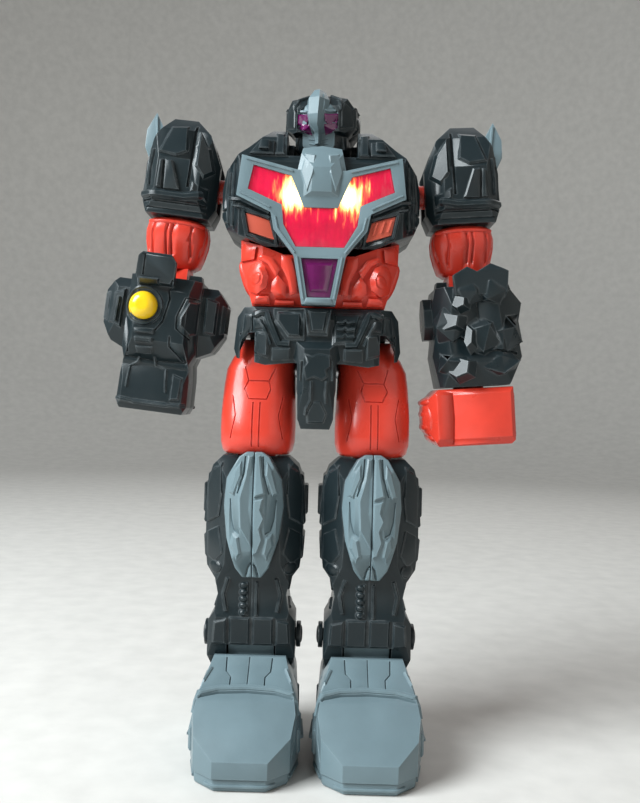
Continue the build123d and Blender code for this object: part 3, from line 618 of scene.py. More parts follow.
def boulder(bm, centre, radii, turn):
    """A faceted rock: a stretched, turned icosahedron, sunk partly into a piece."""
    rock = bmesh.new()
    bmesh.ops.create_icosphere(rock, subdivisions=1, radius=1)
    angles = (math.radians(turn), math.radians(turn * 1.7 + 20), math.radians(turn * 0.6 - 35))
    place = Matrix.Translation(centre) @ Matrix.Diagonal((*radii, 1))
    for n, angle in enumerate(angles):
        place = place @ Matrix.Rotation(angle, 4, "XYZ"[n])
    rock.transform(place)
    round_edges(rock, rock.edges[:], 0.16, 1, 0.5)
    absorb(bm, rock)


CHIP_FACING = Vector((-0.53, -0.81, 0.24)).normalized()


def chip(bm, centre, size):
    """A flat five-sided flake whose face leans towards the window side."""
    across = Vector((0, 0, 1)).cross(CHIP_FACING).normalized()
    up = CHIP_FACING.cross(across)
    corners = ((-1, -0.5), (-0.2, -1), (0.9, -0.6), (1, 0.5), (-0.5, 1))
    rows = []
    for out, scale in ((-3.0, 1.5), (-0.4, 1.12), (0, 1)):
        level = Vector(centre) + CHIP_FACING * out
        wide = across * size[0] * scale
        tall = up * size[1] * scale
        rows.append([level + wide * a + tall * b for a, b in corners])
    loft(bm, rows)


def absorb(bm, extra):
    """Adds another bmesh's shells to this one."""
    mesh = bpy.data.meshes.new("extra")
    extra.to_mesh(mesh)
    bm.from_mesh(mesh)
    bpy.data.meshes.remove(mesh)
    extra.free()


def barrel(rows, count=56, power=2.7):
    """A closed skin through rounded-square sections: (z, x low, x high, y low, y high)."""
    bm = bmesh.new()
    sections = []
    for z, x_low, x_high, y_low, y_high in rows:
        section = []
        for n in range(count):
            angle = 2 * math.pi * (n + 0.5) / count
            c, d = math.cos(angle), math.sin(angle)
            u = math.copysign(abs(c) ** (2 / power), c)
            v = math.copysign(abs(d) ** (2 / power), d)
            x = (x_low + x_high) / 2 + u * (x_high - x_low) / 2
            y = (y_low + y_high) / 2 + v * (y_high - y_low) / 2
            section.append(Vector((x, y, z)))
        sections.append(section)
    loft(bm, sections)
    return bm


# ---------------------------------------------------------------- pelvis


def pelvis_front_details(bm, skin):
    """A plain and a slatted panel, angled straps, skirts and the buckle's relief."""
    left_panel = [(-10.2, 112.2), (-4.2, 112.2), (-4.2, 106), (-7.3, 106), (-10.2, 109.8)]
    plate(bm, skin, inset(left_panel, -0.9), 0.5, 0.35)
    plate(bm, skin, left_panel, 1.2, 0.5)
    right_panel = [(4.2, 111.8), (10.6, 111.8), (9.0, 105), (4.2, 104.6)]
    plate(bm, skin, inset(right_panel, -0.5), 0.4, 0.3)
    plate(bm, skin, right_panel, 0.9, 0.35)
    for height in (106.2, 108.0, 109.8):
        slat = [(4.7, height), (6.2, height), (6.9, height + 0.6), (7.4, height - 0.1), (9.2, height + 0.2)]
        rib(bm, skin, slat, 0.7, 1.4)
    for sign in (-1, 1):
        rib(bm, skin, flip([(16, 111.6), (12.9, 111.8), (9.6, 104.3), (7.0, 104.2)], sign), 1.7, 1.0)
        rib(bm, skin, flip([(14.2, 110), (11.7, 104)], sign), 0.9, 0.8)
        plates(bm, skin, sign, "front", [
            ([(11.3, 103.2), (6.7, 103.2), (6.7, 100.3), (11.3, 100)], 1.1, 0.4),
            ([(16, 107.9), (13.4, 107.9), (14.6, 110.4), (16.2, 110.4)], 0.5, 0.3),
        ])
        inner_skirt = [(16.6, 101.8), (12.3, 100.6), (12.2, 106.6), (15.4, 107.2)]
        plate(bm, skin, flip(inner_skirt, sign), 0.9, 0.5, step=1.2)
        outer_skirt = [(19.6, 103), (17.9, 102.4), (16.6, 107.6), (16.8, 111.6), (18.6, 111.6)]
        plate(bm, skin, flip(outer_skirt, sign), 0.7, step=1.2)
        rib(bm, skin, flip([(3.7, 100), (3.9, 95.2)], sign), 0.6, 0.5)
    rib(bm, skin, [(-1.3, 95), (-1.3, 90.2), (-2.4, 88.2), (-2.6, 86.6)], 0.5, 0.7)
    rib(bm, skin, [(2.5, 95), (2.3, 91.6), (2.5, 89.6)], 0.5, 0.7)
    jagged = [(-3.2, 101.8), (-1.2, 101.2), (0.4, 101.9), (3.4, 101.4), (3.6, 98.6), (2.4, 97.8)]
    jagged += [(2.8, 96.2), (1.4, 95.2), (-0.6, 96), (-2.6, 95.2), (-3.4, 98.2), (-2.4, 99.6)]
    plate(bm, skin, jagged, 0.55, 0.3)
    plate(bm, skin, [(-2, 84.6), (2, 84.6), (2.8, 86.8), (1.2, 90), (-0.6, 90), (-2.2, 86.8)], 0.4, 0.3)
    plate(bm, skin, [(-1.6, 107.4), (1.6, 107.4), (2.5, 112.6), (-2.5, 112.6)], 0.5, 0.4)
    rib(bm, skin, [(-2.2, 107.2), (-3.2, 112.4)], 0.4, 0.6)
    rib(bm, skin, [(2.2, 107.2), (3.2, 112.4)], 0.4, 0.6)


def pelvis_back_details(bm, skin):
    for sign in (-1, 1):
        plates(bm, skin, sign, "back", [
            ([(4, 111), (12, 111), (14, 107), (11, 102), (4.8, 102)], 0.6, 0.4),
            ([(14.6, 110.6), (18.6, 110.6), (19.6, 104), (15.6, 102)], 0.5, 0.4),
        ])
        rib(bm, skin, flip([(5.5, 104), (10, 104), (11.6, 107)], sign), 0.8, 0.9, "back")


simple("pelvis_front", TORSO, 0.45, 2, pelvis_front_details)
simple("pelvis_back", TORSO, 0.45, 2, pelvis_back_details)


# ---------------------------------------------------------------- torso


def chest_lines(sign):
    """Panel lines of one side of the chest."""
    lines = [
        (flip([(8.4, 150.8), (20.6, 150.8)], sign), "front", 0.6, 0.5),
        (flip([(9.6, 134.4), (8.2, 131.6), (6.9, 127.4)], sign), "front", 1.0, 0.7),
        (flip([(21.6, 150), (22.6, 141.2), (21.8, 132.6)], sign), "front", 0.8, 0.6),
        (flip([(23.2, 149), (24.2, 141.2), (23.2, 133.6)], sign), "front", 0.6, 0.5),
    ]
    lines += [([(-12, z), (-3, z)], outside(sign), 0.8, 0.5) for z in (149.6, 138, 134.8)]
    return lines


def chest_front_details(bm, skin):
    for sign in (-1, 1):
        vent_rim = [(10.8, 129.2), (18.1, 131.0), (19.3, 137.0), (12.4, 135.2), (10.8, 129.2)]
        rib(bm, skin, flip(vent_rim, sign), 1.1, 1.1)
        plates(bm, skin, sign, "front", [
            ([(10.4, 128.0), (9.2, 127.9), (11.2, 133.6), (11.6, 133.6)], 0.8, 0.3),
            ([(18.2, 151.4), (12.2, 151.4), (12.2, 155.4), (15.6, 155.4)], 1.0, 0.4),
            ([(15.9, 152.6), (13.4, 152.6), (13.4, 155.2), (15.4, 155.2)], 2.2, 0.35),
            ([(11.8, 151.4), (9.4, 151.4), (9.6, 157.6), (11.8, 158)], 0.8, 0.4),
        ])
        rib(bm, skin, flip([(21.6, 140.2), (12.8, 136.4)], sign), 1.3, 1.9)
        rib(bm, skin, flip([(21.4, 138.4), (12.9, 135.0)], sign), 0.8, 1.3)
        for x, low, high in ((22.2, 133.5, 149), (23.4, 134.5, 147)):
            rib(bm, skin, flip([(x, low), (x - 0.2, (low + high) / 2), (x - 0.5, high)], sign), 0.9, 0.5)


def chest_back_details(bm, skin):
    for sign in (-1, 1):
        plates(bm, skin, sign, "back", [
            ([(12.4, 132.6), (18.2, 133.6), (18.6, 139), (16, 147), (12.4, 147)], 0.7, 0.5),
            ([(5.2, 148.2), (11, 148.2), (9.4, 150.8), (5.4, 150.8)], 0.5, 0.4),
        ])
        rib(bm, skin, flip([(13.4, 135), (16.8, 135.6), (17, 139), (15, 145)], sign), 0.7, 1.2, "back")


def frame_details(bm, skin):
    """Fine ridges along the bezel's arms and the facets of the chin guard."""
    for sign in (-1, 1):
        rib(bm, skin, flip([(7.2, 146.6), (18.6, 149.4)], sign), 0.5, 0.35)
        rib(bm, skin, flip([(20.2, 141.2), (12.6, 137.6)], sign), 0.5, 0.35)
        rib(bm, skin, flip([(11.3, 135.4), (10.6, 132.4), (6.2, 126.6)], sign), 0.5, 0.35)
        rib(bm, skin, flip([(5.6, 125.6), (3.8, 115.2)], sign), 0.5, 0.35)
        facet = [(1.6, 150.8), (4.2, 151.2), (5.2, 146.4), (3.6, 141.4), (2, 146)]
        plate(bm, skin, flip(facet, sign), 0.35, 0.3)
    plate(bm, skin, [(-3.4, 114.2), (3.4, 114.2), (3.1, 115.4), (-3.1, 115.4)], 0.5, 0.2)


def abdomen_front_details(bm, skin):
    """The ropy moulded relief: lugs, a leaning oval, wavy columns and foot blocks."""
    oval = [(17.6, 124.2), (19.2, 121), (18, 117.6), (15.6, 116.6), (13.2, 118.2), (12.7, 121)]
    oval += [(13.8, 123.6), (15.8, 124.8)]
    column = [(9.6, 126.4), (7.2, 126.2), (5.9, 121.6), (5.4, 117), (7.2, 116.4), (7.8, 120.2)]
    column += [(9.6, 123.8)]
    blocks = [
        ([(16.6, 125.6), (20.2, 125.4), (19.6, 130), (16.2, 128.8)], 1.5, 0.6),
        (oval, 2.4, 1.3),
        ([(15.2, 126.6), (12.0, 125.8), (9.8, 122.8), (10.8, 121), (13, 124.2), (15.6, 125.6)], 1.6, 0.6),
        ([(11.8, 119.6), (10.4, 121.4), (8.2, 119), (8.3, 115.8), (10.8, 115.8), (12, 117.4)], 2.0, 0.9),
        (column, 1.4, 0.6),
        ([(17, 114.2), (12.2, 114.2), (12.6, 116.2), (16.4, 116.0)], 1.5, 0.5),
        ([(11.2, 114.1), (6.2, 114.1), (6.2, 115.2), (11, 115.2)], 1.3, 0.4),
    ]
    for sign in (-1, 1):
        for outline, lift, rim in blocks:
            plate(bm, skin, flip(outline, sign), lift, rim, step=1.6)
        lobe(bm, skin, (sign * 15.8, 120.4), (1.9, 2.7), sign * 30, 3.1)
        for y in (-5.6, -2.4):
            lobe(bm, skin, (y, 121.4), (1.4, 4.6), 0, 1.2, outside(sign))


def abdomen_back_details(bm, skin):
    for sign in (-1, 1):
        for x, tall in ((8, 3.6), (11.4, 4.2)):
            lobe(bm, skin, (sign * x, 120.8), (1.4, tall), sign * 6, 1.2, "back")
        lug = [(18.8, 125.8), (13, 125.8), (13, 127.4), (19.2, 128.6)]
        plate(bm, skin, flip(lug, sign), 0.8, 0.4, "back")
        for y in (2, 5):
            lobe(bm, skin, (y, 121.4), (1.3, 4.4), 0, 1.0, outside(sign))


def vent_details(bm, skin):
    for step in range(3):
        x = 13.2 + step * 1.8
        rib(bm, skin, [(x, 131.6 + step * 0.4), (x + 0.9, 134.6 + step * 0.4)], 0.6, 0.4)


def door_details(bm, skin):
    plate(bm, skin, both([(0, 131.2), (9, 131.2), (9.6, 132), (9.6, 141.2), (0, 141.2)]), 0.5, 0.4, "back")
    for height in (133.4, 135.2, 137, 138.8):
        rib(bm, skin, [(-6.4, height), (6.4, height)], 0.7, 1.0, "back")


def lens_details(bm, skin):
    plate(bm, skin, both([(0, 117), (2.1, 117), (3.4, 124.2), (0, 124.2)]), 0.5, 0.6)


def button_details(bm, skin):
    for height in (120.6, 121.8, 123):
        rib(bm, skin, [(-2.6, height), (2.6, height)], 0.5, 0.3, "back")


simple("chest_front", TORSO, 0.5, 2, chest_front_details, lines=chest_lines(-1) + chest_lines(1))
simple("chest_back", TORSO, 0.5, 2, chest_back_details)
simple("chest_frame", TORSO, 0.35, 2, frame_details)
simple("abdomen_front", TORSO, 0.7, 3, abdomen_front_details, 45)
simple("abdomen_back", TORSO, 0.7, 3, abdomen_back_details, 45)
simple("window_upper", TORSO, 0.3, 2)
simple("window_lower", TORSO, 0.3, 2, lens_details)
simple("side_vents", TORSO, 0.25, 2, vent_details)
simple("battery_door", TORSO, 0.3, 2, door_details)
simple("light_button", TORSO, 0.3, 2, button_details)


# ---------------------------------------------------------------- head


def helmet_front_details(bm, skin):
    for sign in (-1, 1):
        cheek = [(6, 160.4), (8.7, 161.6), (8.7, 165.6), (6.6, 167), (6, 164.6)]
        plate(bm, skin, flip(cheek, sign), 0.6, 0.4)
        rib(bm, skin, flip([(2.8, 169.2), (5.4, 167.9), (5.8, 165)], sign), 0.8, 0.6)
        rib(bm, skin, flip([(6.2, 156), (5.6, 159)], sign), 0.7, 0.6)
        lobe(bm, skin, (-0.4, 162.6), (2.4, 2.4), 0, 0.7, outside(sign))
        rib(bm, skin, [(-5, 166.2), (4, 166.4)], 0.7, 0.5, outside(sign))


def helmet_back_details(bm, skin):
    for sign in (-1, 1):
        panel = [(1.4, 160.6), (5.6, 160.6), (6.2, 165.4), (1.4, 167.4)]
        plate(bm, skin, flip(panel, sign), 0.5, 0.4, "back")
    rib(bm, skin, [(0, 160.4), (0, 168.6)], 0.9, 0.7, "back")


def face_details(bm, skin):
    """A plain robot face: a long centre wedge, a cheek, brows and a slotted mouth guard."""
    crest_rows = []
    crest = [(170.2, 1.5, -8.4), (167.6, 2.9, -10.6), (163.0, 2.7, -12.0), (160.4, 2.0, -11.6)]
    crest += [(159.5, 1.3, -8.4), (156.4, 0.9, -8.0)]
    for z, half, y in crest:
        ridge = ((-half, y + 2.6, z), (-half * 0.7, y, z), (half * 0.25, y - 0.5, z), (half, y + 2.6, z))
        crest_rows.append([Vector(point) for point in ridge])
    loft(bm, crest_rows)
    plate(bm, skin, [(-2.2, 160.6), (-5.2, 161.2), (-5.1, 159.7), (-2.2, 159.6)], 0.9, 0.3)
    for sign in (-1, 1):
        rib(bm, skin, flip([(5.0, 164.4), (4.9, 161.4), (4.6, 159.8)], sign), 0.9, 0.6)
        rib(bm, skin, flip([(1.8, 164.2), (5.2, 164.9)], sign), 0.8, 0.7)
        rib(bm, skin, flip([(1, 157.8), (2.6, 158)], sign), 0.4, 0.2)
        rib(bm, skin, flip([(0.9, 156.6), (2.4, 156.8)], sign), 0.4, 0.2)


def eye_details(bm, skin):
    """Wide slanted lenses over the face, on both sides of the crest."""
    face_skin = skin_of(from_node("face", HEAD))
    for sign in (-1, 1):
        eye = [(2.0, 163.4), (5.3, 164.0), (5.4, 161.6), (3.9, 159.9), (2.3, 161.0)]
        plate(bm, face_skin, flip(eye, sign), 0.9, 0.35, step=0.8)


simple("helmet_front", HEAD, 0.5, 2, helmet_front_details)
simple("helmet_back", HEAD, 0.5, 2, helmet_back_details)
simple("face", HEAD, 0.25, 2, face_details)
simple("eye_lenses", HEAD, 0.2, 2, eye_details)


# ---------------------------------------------------------------- arms


def pauldron_front_details(sign):
    def details(bm, skin):
        plates(bm, skin, sign, "front", [
            ([(3.9, 5.2), (2.2, 5.2), (-0.4, -2), (3.5, -2.2)], 1.1, 0.4),
            ([(5.4, 5), (4.6, 5.2), (4.3, -2), (5.6, -2)], 0.8, 0.3),
            ([(6.2, 7), (4.0, 14.6), (-0.4, 15.4), (-1.4, 8), (1.4, 6.4)], 0.7, 0.6),
            ([(-3.6, 14), (-7, 9.6), (-8.6, 4), (-6, 1.6), (-3.6, 4.4)], 0.8, 0.7),
            ([(-3.4, 0.6), (-7.6, -0.6), (-7.4, -4), (-3.2, -2)], 0.6, 0.5),
        ])
        rib(bm, skin, flip([(9, -3.6), (4, -3.5), (-2, -3.5), (-6, -2.6)], sign), 2.0, 1.0)
        rib(bm, skin, flip([(7.4, 8), (8.0, 3), (7.8, -1.2)], sign), 0.8, 0.6)
        plate(bm, skin, [(-7.6, -4.2), (-1, -4.6), (-1, 8), (-6, 9.6)], 0.6, 0.5, outside(sign))

    return details


def pauldron_lines(sign):
    lines = [
        (flip([(-2.3, 15.8), (-2.6, 7), (-2.4, -1)], sign), "front", 0.9, 0.8),
        (flip([(-3.6, 9.8), (-6, 8.6), (-8.2, 4.6)], sign), "front", 0.6, 0.5),
        (flip([(9, -5.2), (-7.6, -5.2)], sign), "front", 0.8, 0.6),
        (flip([(9, -6.9), (-7.6, -6.9)], sign), "front", 0.5, 0.4),
        ([(-8, 0.6), (-6.6, 10), (-2, 15)], outside(sign), 0.6, 0.5),
    ]
    back = [
        (flip([(-2.3, 15.8), (-2.6, 7), (-2.4, -1)], sign), "back", 0.8, 0.6),
        (flip([(9, -5.8), (-7.6, -5.8)], sign), "back", 0.8, 0.6),
        ([(8, 0.6), (6.4, 10), (2, 15)], outside(sign), 0.6, 0.5),
    ]
    return lines, back


def pauldron_back_details(sign):
    def details(bm, skin):
        plates(bm, skin, sign, "back", [
            ([(5, 3.6), (-5, 3.6), (-4, -2.2), (6, -2.2)], 0.7, 0.5),
            ([(3.6, 15.4), (-2, 15.6), (-4.4, 6), (3.6, 6)], 0.6, 0.5),
            ([(8.6, -3), (-7.6, -3), (-7.6, -5.4), (8.6, -5.4)], 0.8, 0.4),
        ])
        plate(bm, skin, [(1, -4.6), (8.4, -4.6), (6.6, 3.4), (1, 3.4)], 0.6, 0.5, outside(sign))

    return details


def fin_piece(name):
    """The almond fin: two shallow facets that meet in a ridge."""
    sign = SIDES[name]
    bm = from_node(f"{name}_shoulder_fin", ARM[name])
    soften(bm, 0.3, 2)
    skin = skin_of(bm)
    rib(bm, skin, flip([(11.9, 21.4), (11, 16), (10.6, 9)], sign), 0.8, 0.5)
    rib(bm, skin, flip([(11.9, 21.4), (11, 16), (10.6, 9)], sign), 0.8, 0.5, "back")
    node = f"{name}_shoulder_fin"
    finish_piece(bm, node + "_skin", ARM[name], f"{name}_pauldron", [node], "grey_plastic")


def upper_arm_piece(name):
    """The rounded red sleeve with its moulded columns, and the elbow tongue."""
    sign = SIDES[name]
    rows = [(-8.7, 7.0, 6.5), (-9.6, 7.8, 7.2), (-11.8, 8.3, 7.4), (-14.4, 8.2, 6.4), (-17.2, 7.6, 5.4)]
    rows += [(-19.8, 6.8, 4.4), (-20.9, 5.4, 3.6)]
    bm = barrel([(z, -r, r, -front, r * 0.93) for z, r, front in rows], 48, 3.0)
    skin = skin_of(bm)
    notches = []
    for u in (-4.6, 0.4, 1.8, 5.4):
        notch = flip([(u, -10.2), (u + 0.5, -13), (u, -18)], sign)
        notches += [(notch, view, 0.9, 0.6) for view in ("front", "back")]
    for view in ("plus_x", "minus_x"):
        notches += [([(u, -10.4), (u, -17.4)], view, 0.9, 0.6) for u in (-3.4, 0.4, 3.8)]
    engrave(bm, skin, notches)
    skin = skin_of(bm)
    for view in ("front", "back"):
        rib(bm, skin, [(-7, -9.8), (0, -9.6), (7, -9.8)], 0.9, 0.4, view)
    tongue = from_node(f"{name}_upper_arm", ARM[name])
    sleeve = [v for v in tongue.verts if -20.95 < v.co.z < -8.8 and abs(v.co.x) > 4.5]
    bmesh.ops.delete(tongue, geom=sleeve, context="VERTS")
    trim(tongue, (0, 0, -19), (0, 0, 1))
    neck = bmesh.new()
    lathe(neck, (0, 0, 0), 2, [(-9.4, 4.9), (-6.4, 4.9), (-6.3, 6.3), (-5.3, 6.3)], 32)
    for extra in (tongue, neck):
        absorb(bm, extra)
    body = f"{name}_upper_arm"
    finish_piece(bm, body + "_skin", ARM[name], body, [body], "red_plastic", 45)


def blaster_front_details(bm, skin):
    """Side pods, the ring and slats round the button, the barrel's lip and the elbow cheeks."""
    plates(bm, skin, 1, "front", [
        ([(6.9, -30.2), (9.2, -29.8), (9.2, -38), (7.8, -38.6), (5.3, -36.4), (5.2, -34.4)], 0.7, 0.35),
        ([(10.6, -28.2), (13.8, -28.8), (13.8, -37.4), (10.8, -37.4)], 1.1, 0.45),
        ([(-10.4, -28.4), (-13.4, -29.6), (-14.2, -37.4), (-10.6, -38.6)], 0.7, 0.4),
        ([(-6.2, -25.6), (-1.0, -25.4), (-1.0, -27.0), (-6.4, -27.2)], 1.2, 0.4),
        ([(-6.2, -38.3), (-1.2, -38.1), (-1.2, -39.2), (-6, -39.4)], 0.8, 0.25),
        ([(-5.8, -40.5), (-1.2, -40.3), (-1.2, -41.6), (-5.6, -41.8)], 0.9, 0.3),
        ([(-5.4, -42.8), (-1, -42.6), (-1.2, -44.4), (-4.8, -44.6)], 0.7, 0.3),
        ([(4.8, -48.8), (7.4, -49.6), (7.2, -55.2), (4.8, -55.6)], 0.5, 0.35),
    ])
    rib(bm, skin, [(-11.9, -30.6), (-12.2, -37)], 0.8, 1.3)
    turns = [math.radians(18 * n) for n in range(21)]
    rib(bm, skin, [(-4.6 + 4.7 * math.cos(a), -32.4 + 4.7 * math.sin(a)) for a in turns], 0.7, 0.5)
    rib(bm, skin, [(-0.4, -45.0), (0.1, -47.2), (2.8, -47.8), (3.5, -53.6)], 0.45, 0.35)
    rib(bm, skin, [(-4.2, -45.4), (-4.5, -46.6), (-6.4, -48), (-6.6, -53.4)], 0.45, 0.35)
    rib(bm, skin, [(-8.6, -56.6), (-4, -57), (4, -57), (8.6, -56.6)], 1.2, 0.6)
    for view in ("plus_x", "minus_x"):
        plate(bm, skin, [(-5, -29.4), (-0.6, -29.4), (-0.6, -37), (-5, -37)], 0.6, 0.5, view)
    for sign in (-1, 1):
        slab(bm, flip([(4.95, -25.4), (4.95, -22.6), (8.2, -22.6), (8.9, -25.4)], sign), -4.6, -0.1, 0.4)


BLASTER_LINES = [
    ([(2.4, -25.4), (1.4, -28), (1.9, -30), (0.8, -35.9), (-0.9, -38.4)], "front", 0.7, 0.6),
    ([(-9.4, -35.4), (-7.9, -40), (-7.4, -44.6)], "front", 0.7, 0.6),
    ([(-5.0, -19.6), (-5.3, -25)], "front", 0.6, 0.5),
    ([(9.2, -29.2), (5.9, -29.3), (4.2, -34.2), (4.4, -37.2), (8, -39.8)], "front", 0.6, 0.5),
    ([(3, -39.4), (3.2, -42), (7.2, -45.4)], "front", 0.6, 0.5),
    ([(-8.6, -45.6), (0, -46.2), (8.6, -45.6)], "front", 0.6, 0.4),
]


def blaster_back_details(bm, skin):
    plate(bm, skin, both([(0, -27), (5.4, -27), (6.4, -31), (5.2, -38), (0, -39.6)]), 0.8, 0.5, "back")
    plate(bm, skin, both([(0, -49), (5.2, -49), (5.2, -55.6), (0, -55.6)]), 0.6, 0.4, "back")
    for height in (-30, -33, -36):
        rib(bm, skin, [(-3.6, height), (3.6, height)], 0.9, 1.3, "back")
    rib(bm, skin, [(-8.8, -57), (8.8, -57)], 0.9, 0.6, "back")
    for sign in (-1, 1):
        plate(bm, skin, flip([(10.8, -28.6), (13.6, -29), (13.6, -37), (11, -38)], sign), 0.7, 0.4, "back")


def gauntlet_front_details(bm, skin):
    """Big rocks, a few bright flakes and the elbow cheeks."""
    rocks = [
        ((-5.0, -8.4, -34.4), (5.2, 3.8, 5.6), 12),
        ((-3.8, -8.2, -44.2), (5.4, 3.8, 4.4), 75),
        ((2.6, -9.0, -37.6), (5.6, 3.6, 6.8), 130),
        ((8.4, -6.8, -36.6), (5.4, 4.6, 6.6), 205),
        ((6.4, -7.8, -44.4), (6.2, 4.0, 4.4), 265),
        ((-0.6, -11.2, -25.6), (4.4, 3.2, 4.6), 25),
        ((5.6, -11.0, -25.4), (4.8, 3.4, 4.6), 245),
    ]
    for centre, radii, turn in rocks:
        boulder(bm, centre, radii, turn)
    flakes = [
        ((-6.4, -11.2, -33.2), (2.9, 2.2)),
        ((-4.0, -11.4, -45.0), (2.6, 2.6)),
        ((-3.6, -13.2, -28.6), (1.6, 1.6)),
        ((-1.4, -12.6, -37.4), (1.0, 2.8)),
    ]
    for centre, size in flakes:
        chip(bm, centre, size)
    for sign in (-1, 1):
        slab(bm, flip([(4.95, -25.4), (4.95, -22.6), (7.6, -22.6), (8.2, -25.4)], sign), -4.6, -0.1, 0.4)


GAUNTLET_LINES = [
    ([(-8.6, -36.8), (-3, -37.6), (1.6, -41.4), (6, -41.2), (12, -42.2)], "front", 0.9, 0.8),
    ([(1.4, -28.6), (1.8, -33), (3.6, -37.4), (2, -41)], "front", 0.8, 0.7),
]


def gauntlet_back_details(bm, skin):
    rocks = [
        ((-4.4, 7.6, -30.6), (3.8, 2.6, 4.2), 33),
        ((4.0, 7.8, -30.2), (4.6, 2.6, 4.4), 110),
        ((-4.6, 7.4, -39.6), (3.6, 2.8, 4.2), 190),
        ((4.4, 7.6, -39.4), (4.6, 2.8, 4.4), 280),
        ((-2.6, 7.2, -46.2), (3.6, 2.4, 2.6), 345),
        ((6.0, 6.8, -46.2), (3.2, 2.6, 2.6), 70),
        ((10.8, 2.6, -38.6), (3.0, 4.2, 4.8), 155),
    ]
    for centre, radii, turn in rocks:
        boulder(bm, centre, radii, turn)


def fist_details(bm, skin):
    """A rounded inner side with soft fingers, and a plain square block outside."""
    lobe(bm, skin, (-0.4, -58.6), (7.0, 6.6), 0, 1.0, "minus_x")
    for height in (-53.6, -56.9, -60.2, -63.4):
        lobe(bm, skin, (-0.4, height), (6.4, 1.5), 0, 1.3, "minus_x")
    plate(bm, skin, [(-6.6, -52), (6.4, -52), (6.4, -64), (-6.6, -64)], 0.5, 0.5, "plus_x")


FIST_LINES = [
    ([(-5.6, -51.6), (-5.4, -58), (-5.8, -65)], "front", 0.7, 0.5),
    ([(-5.6, -51.6), (-5.4, -58), (-5.8, -65)], "back", 0.7, 0.5),
]


for side_name, side_sign in SIDES.items():
    simple(f"{side_name}_shoulder_peg", ARM[side_name], 0.2, 2)
    front_lines, back_lines = pauldron_lines(side_sign)
    pauldron = f"{side_name}_pauldron"
    place = ARM[side_name]
    simple(pauldron + "_front", place, 0.8, 3, pauldron_front_details(side_sign), lines=front_lines)
    simple(pauldron + "_back", place, 0.8, 3, pauldron_back_details(side_sign), lines=back_lines)
    fin_piece(side_name)
    upper_arm_piece(side_name)
simple("blaster_front", ARM["right"], 0.45, 2, blaster_front_details, lines=BLASTER_LINES)
simple("blaster_back", ARM["right"], 0.45, 2, blaster_back_details)
simple("blaster_button", ARM["right"], 0.1, 2)
simple("gauntlet_front", ARM["left"], 0.4, 2, gauntlet_front_details, 20, GAUNTLET_LINES)
simple("gauntlet_back", ARM["left"], 0.4, 2, gauntlet_back_details, 20)
simple("fist", ARM["left"], 0.8, 3, fist_details, 45, FIST_LINES)


# ---------------------------------------------------------------- legs


def thigh_piece(name):
    """A smooth glossy barrel with panel lines, one piece standing for both halves of the moulding."""
    sign = SIDES[name]
    # height, then how far it reaches to the inner side, the outer side, the front and the back
    rows = [(76, 8.4, 8.4, 9.6, 7.2), (76.8, 9.2, 9.2, 11, 8.4), (79, 9.7, 9.7, 12, 9.3)]
    rows += [(82, 9.8, 9.8, 12.1, 9.4), (86, 9.8, 9.8, 11.2, 9.3), (90, 9.6, 9.6, 9.6, 8.8)]
    rows += [(94, 9.5, 9.3, 8.1, 8.1), (98, 9.4, 8.7, 8.0, 7.9), (101, 9.4, 7.2, 7.5, 7.4)]
    rows += [(103.4, 9.3, 5.4, 6.0, 6.0), (105, 9.2, 4.8, 4.0, 4.0), (105.9, 9.0, 4.4, 2.2, 2.2)]
    sections = []
    for z, inner, outer, front, back in rows:
        sections.append((z, *sorted((-sign * inner, sign * outer)), -front, back))
    bm = barrel(sections, 64, 2.5)
    skin = skin_of(bm)
    front_lines = [
        [(-3.4, 98.6), (-2.4, 94.9), (2.8, 94.9), (4.4, 98.2)],
        [(-2.4, 94.9), (-3.4, 92.9), (-2.1, 90.2), (2.4, 90.2), (3.4, 92.9), (2.8, 94.9)],
        [(-1.0, 89.4), (-1.0, 78)],
        [(0.8, 89.4), (0.8, 78)],
        [(-6.4, 91), (-5.4, 86), (-6.6, 80)],
        [(6.6, 91), (5.6, 86), (6.8, 80)],
    ]
    lines = [(flip(line, -sign), "front", 0.55, 0.4) for line in front_lines]
    for line in ([(0, 92), (0, 78)], [(-4, 90), (-5, 84), (-4, 79)], [(4, 90), (5, 84), (4, 79)]):
        lines += [(line, view, 0.5, 0.35) for view in ("back", outside(sign))]
    engrave(bm, skin, lines)
    tongue = [(-6.4, 77), (-6.6, 67), (-4.8, 62.4), (0, 60.4), (4.8, 62.4), (6.6, 67), (6.4, 77)]
    slab(bm, tongue, -4.9, 4.9, 0.4, "plus_x")
    nodes = [f"{name}_thigh_inner", f"{name}_thigh_outer"]
    finish_piece(bm, f"{name}_thigh_skin", LEG[name], f"{name}_thigh", nodes, "red_plastic", 40)


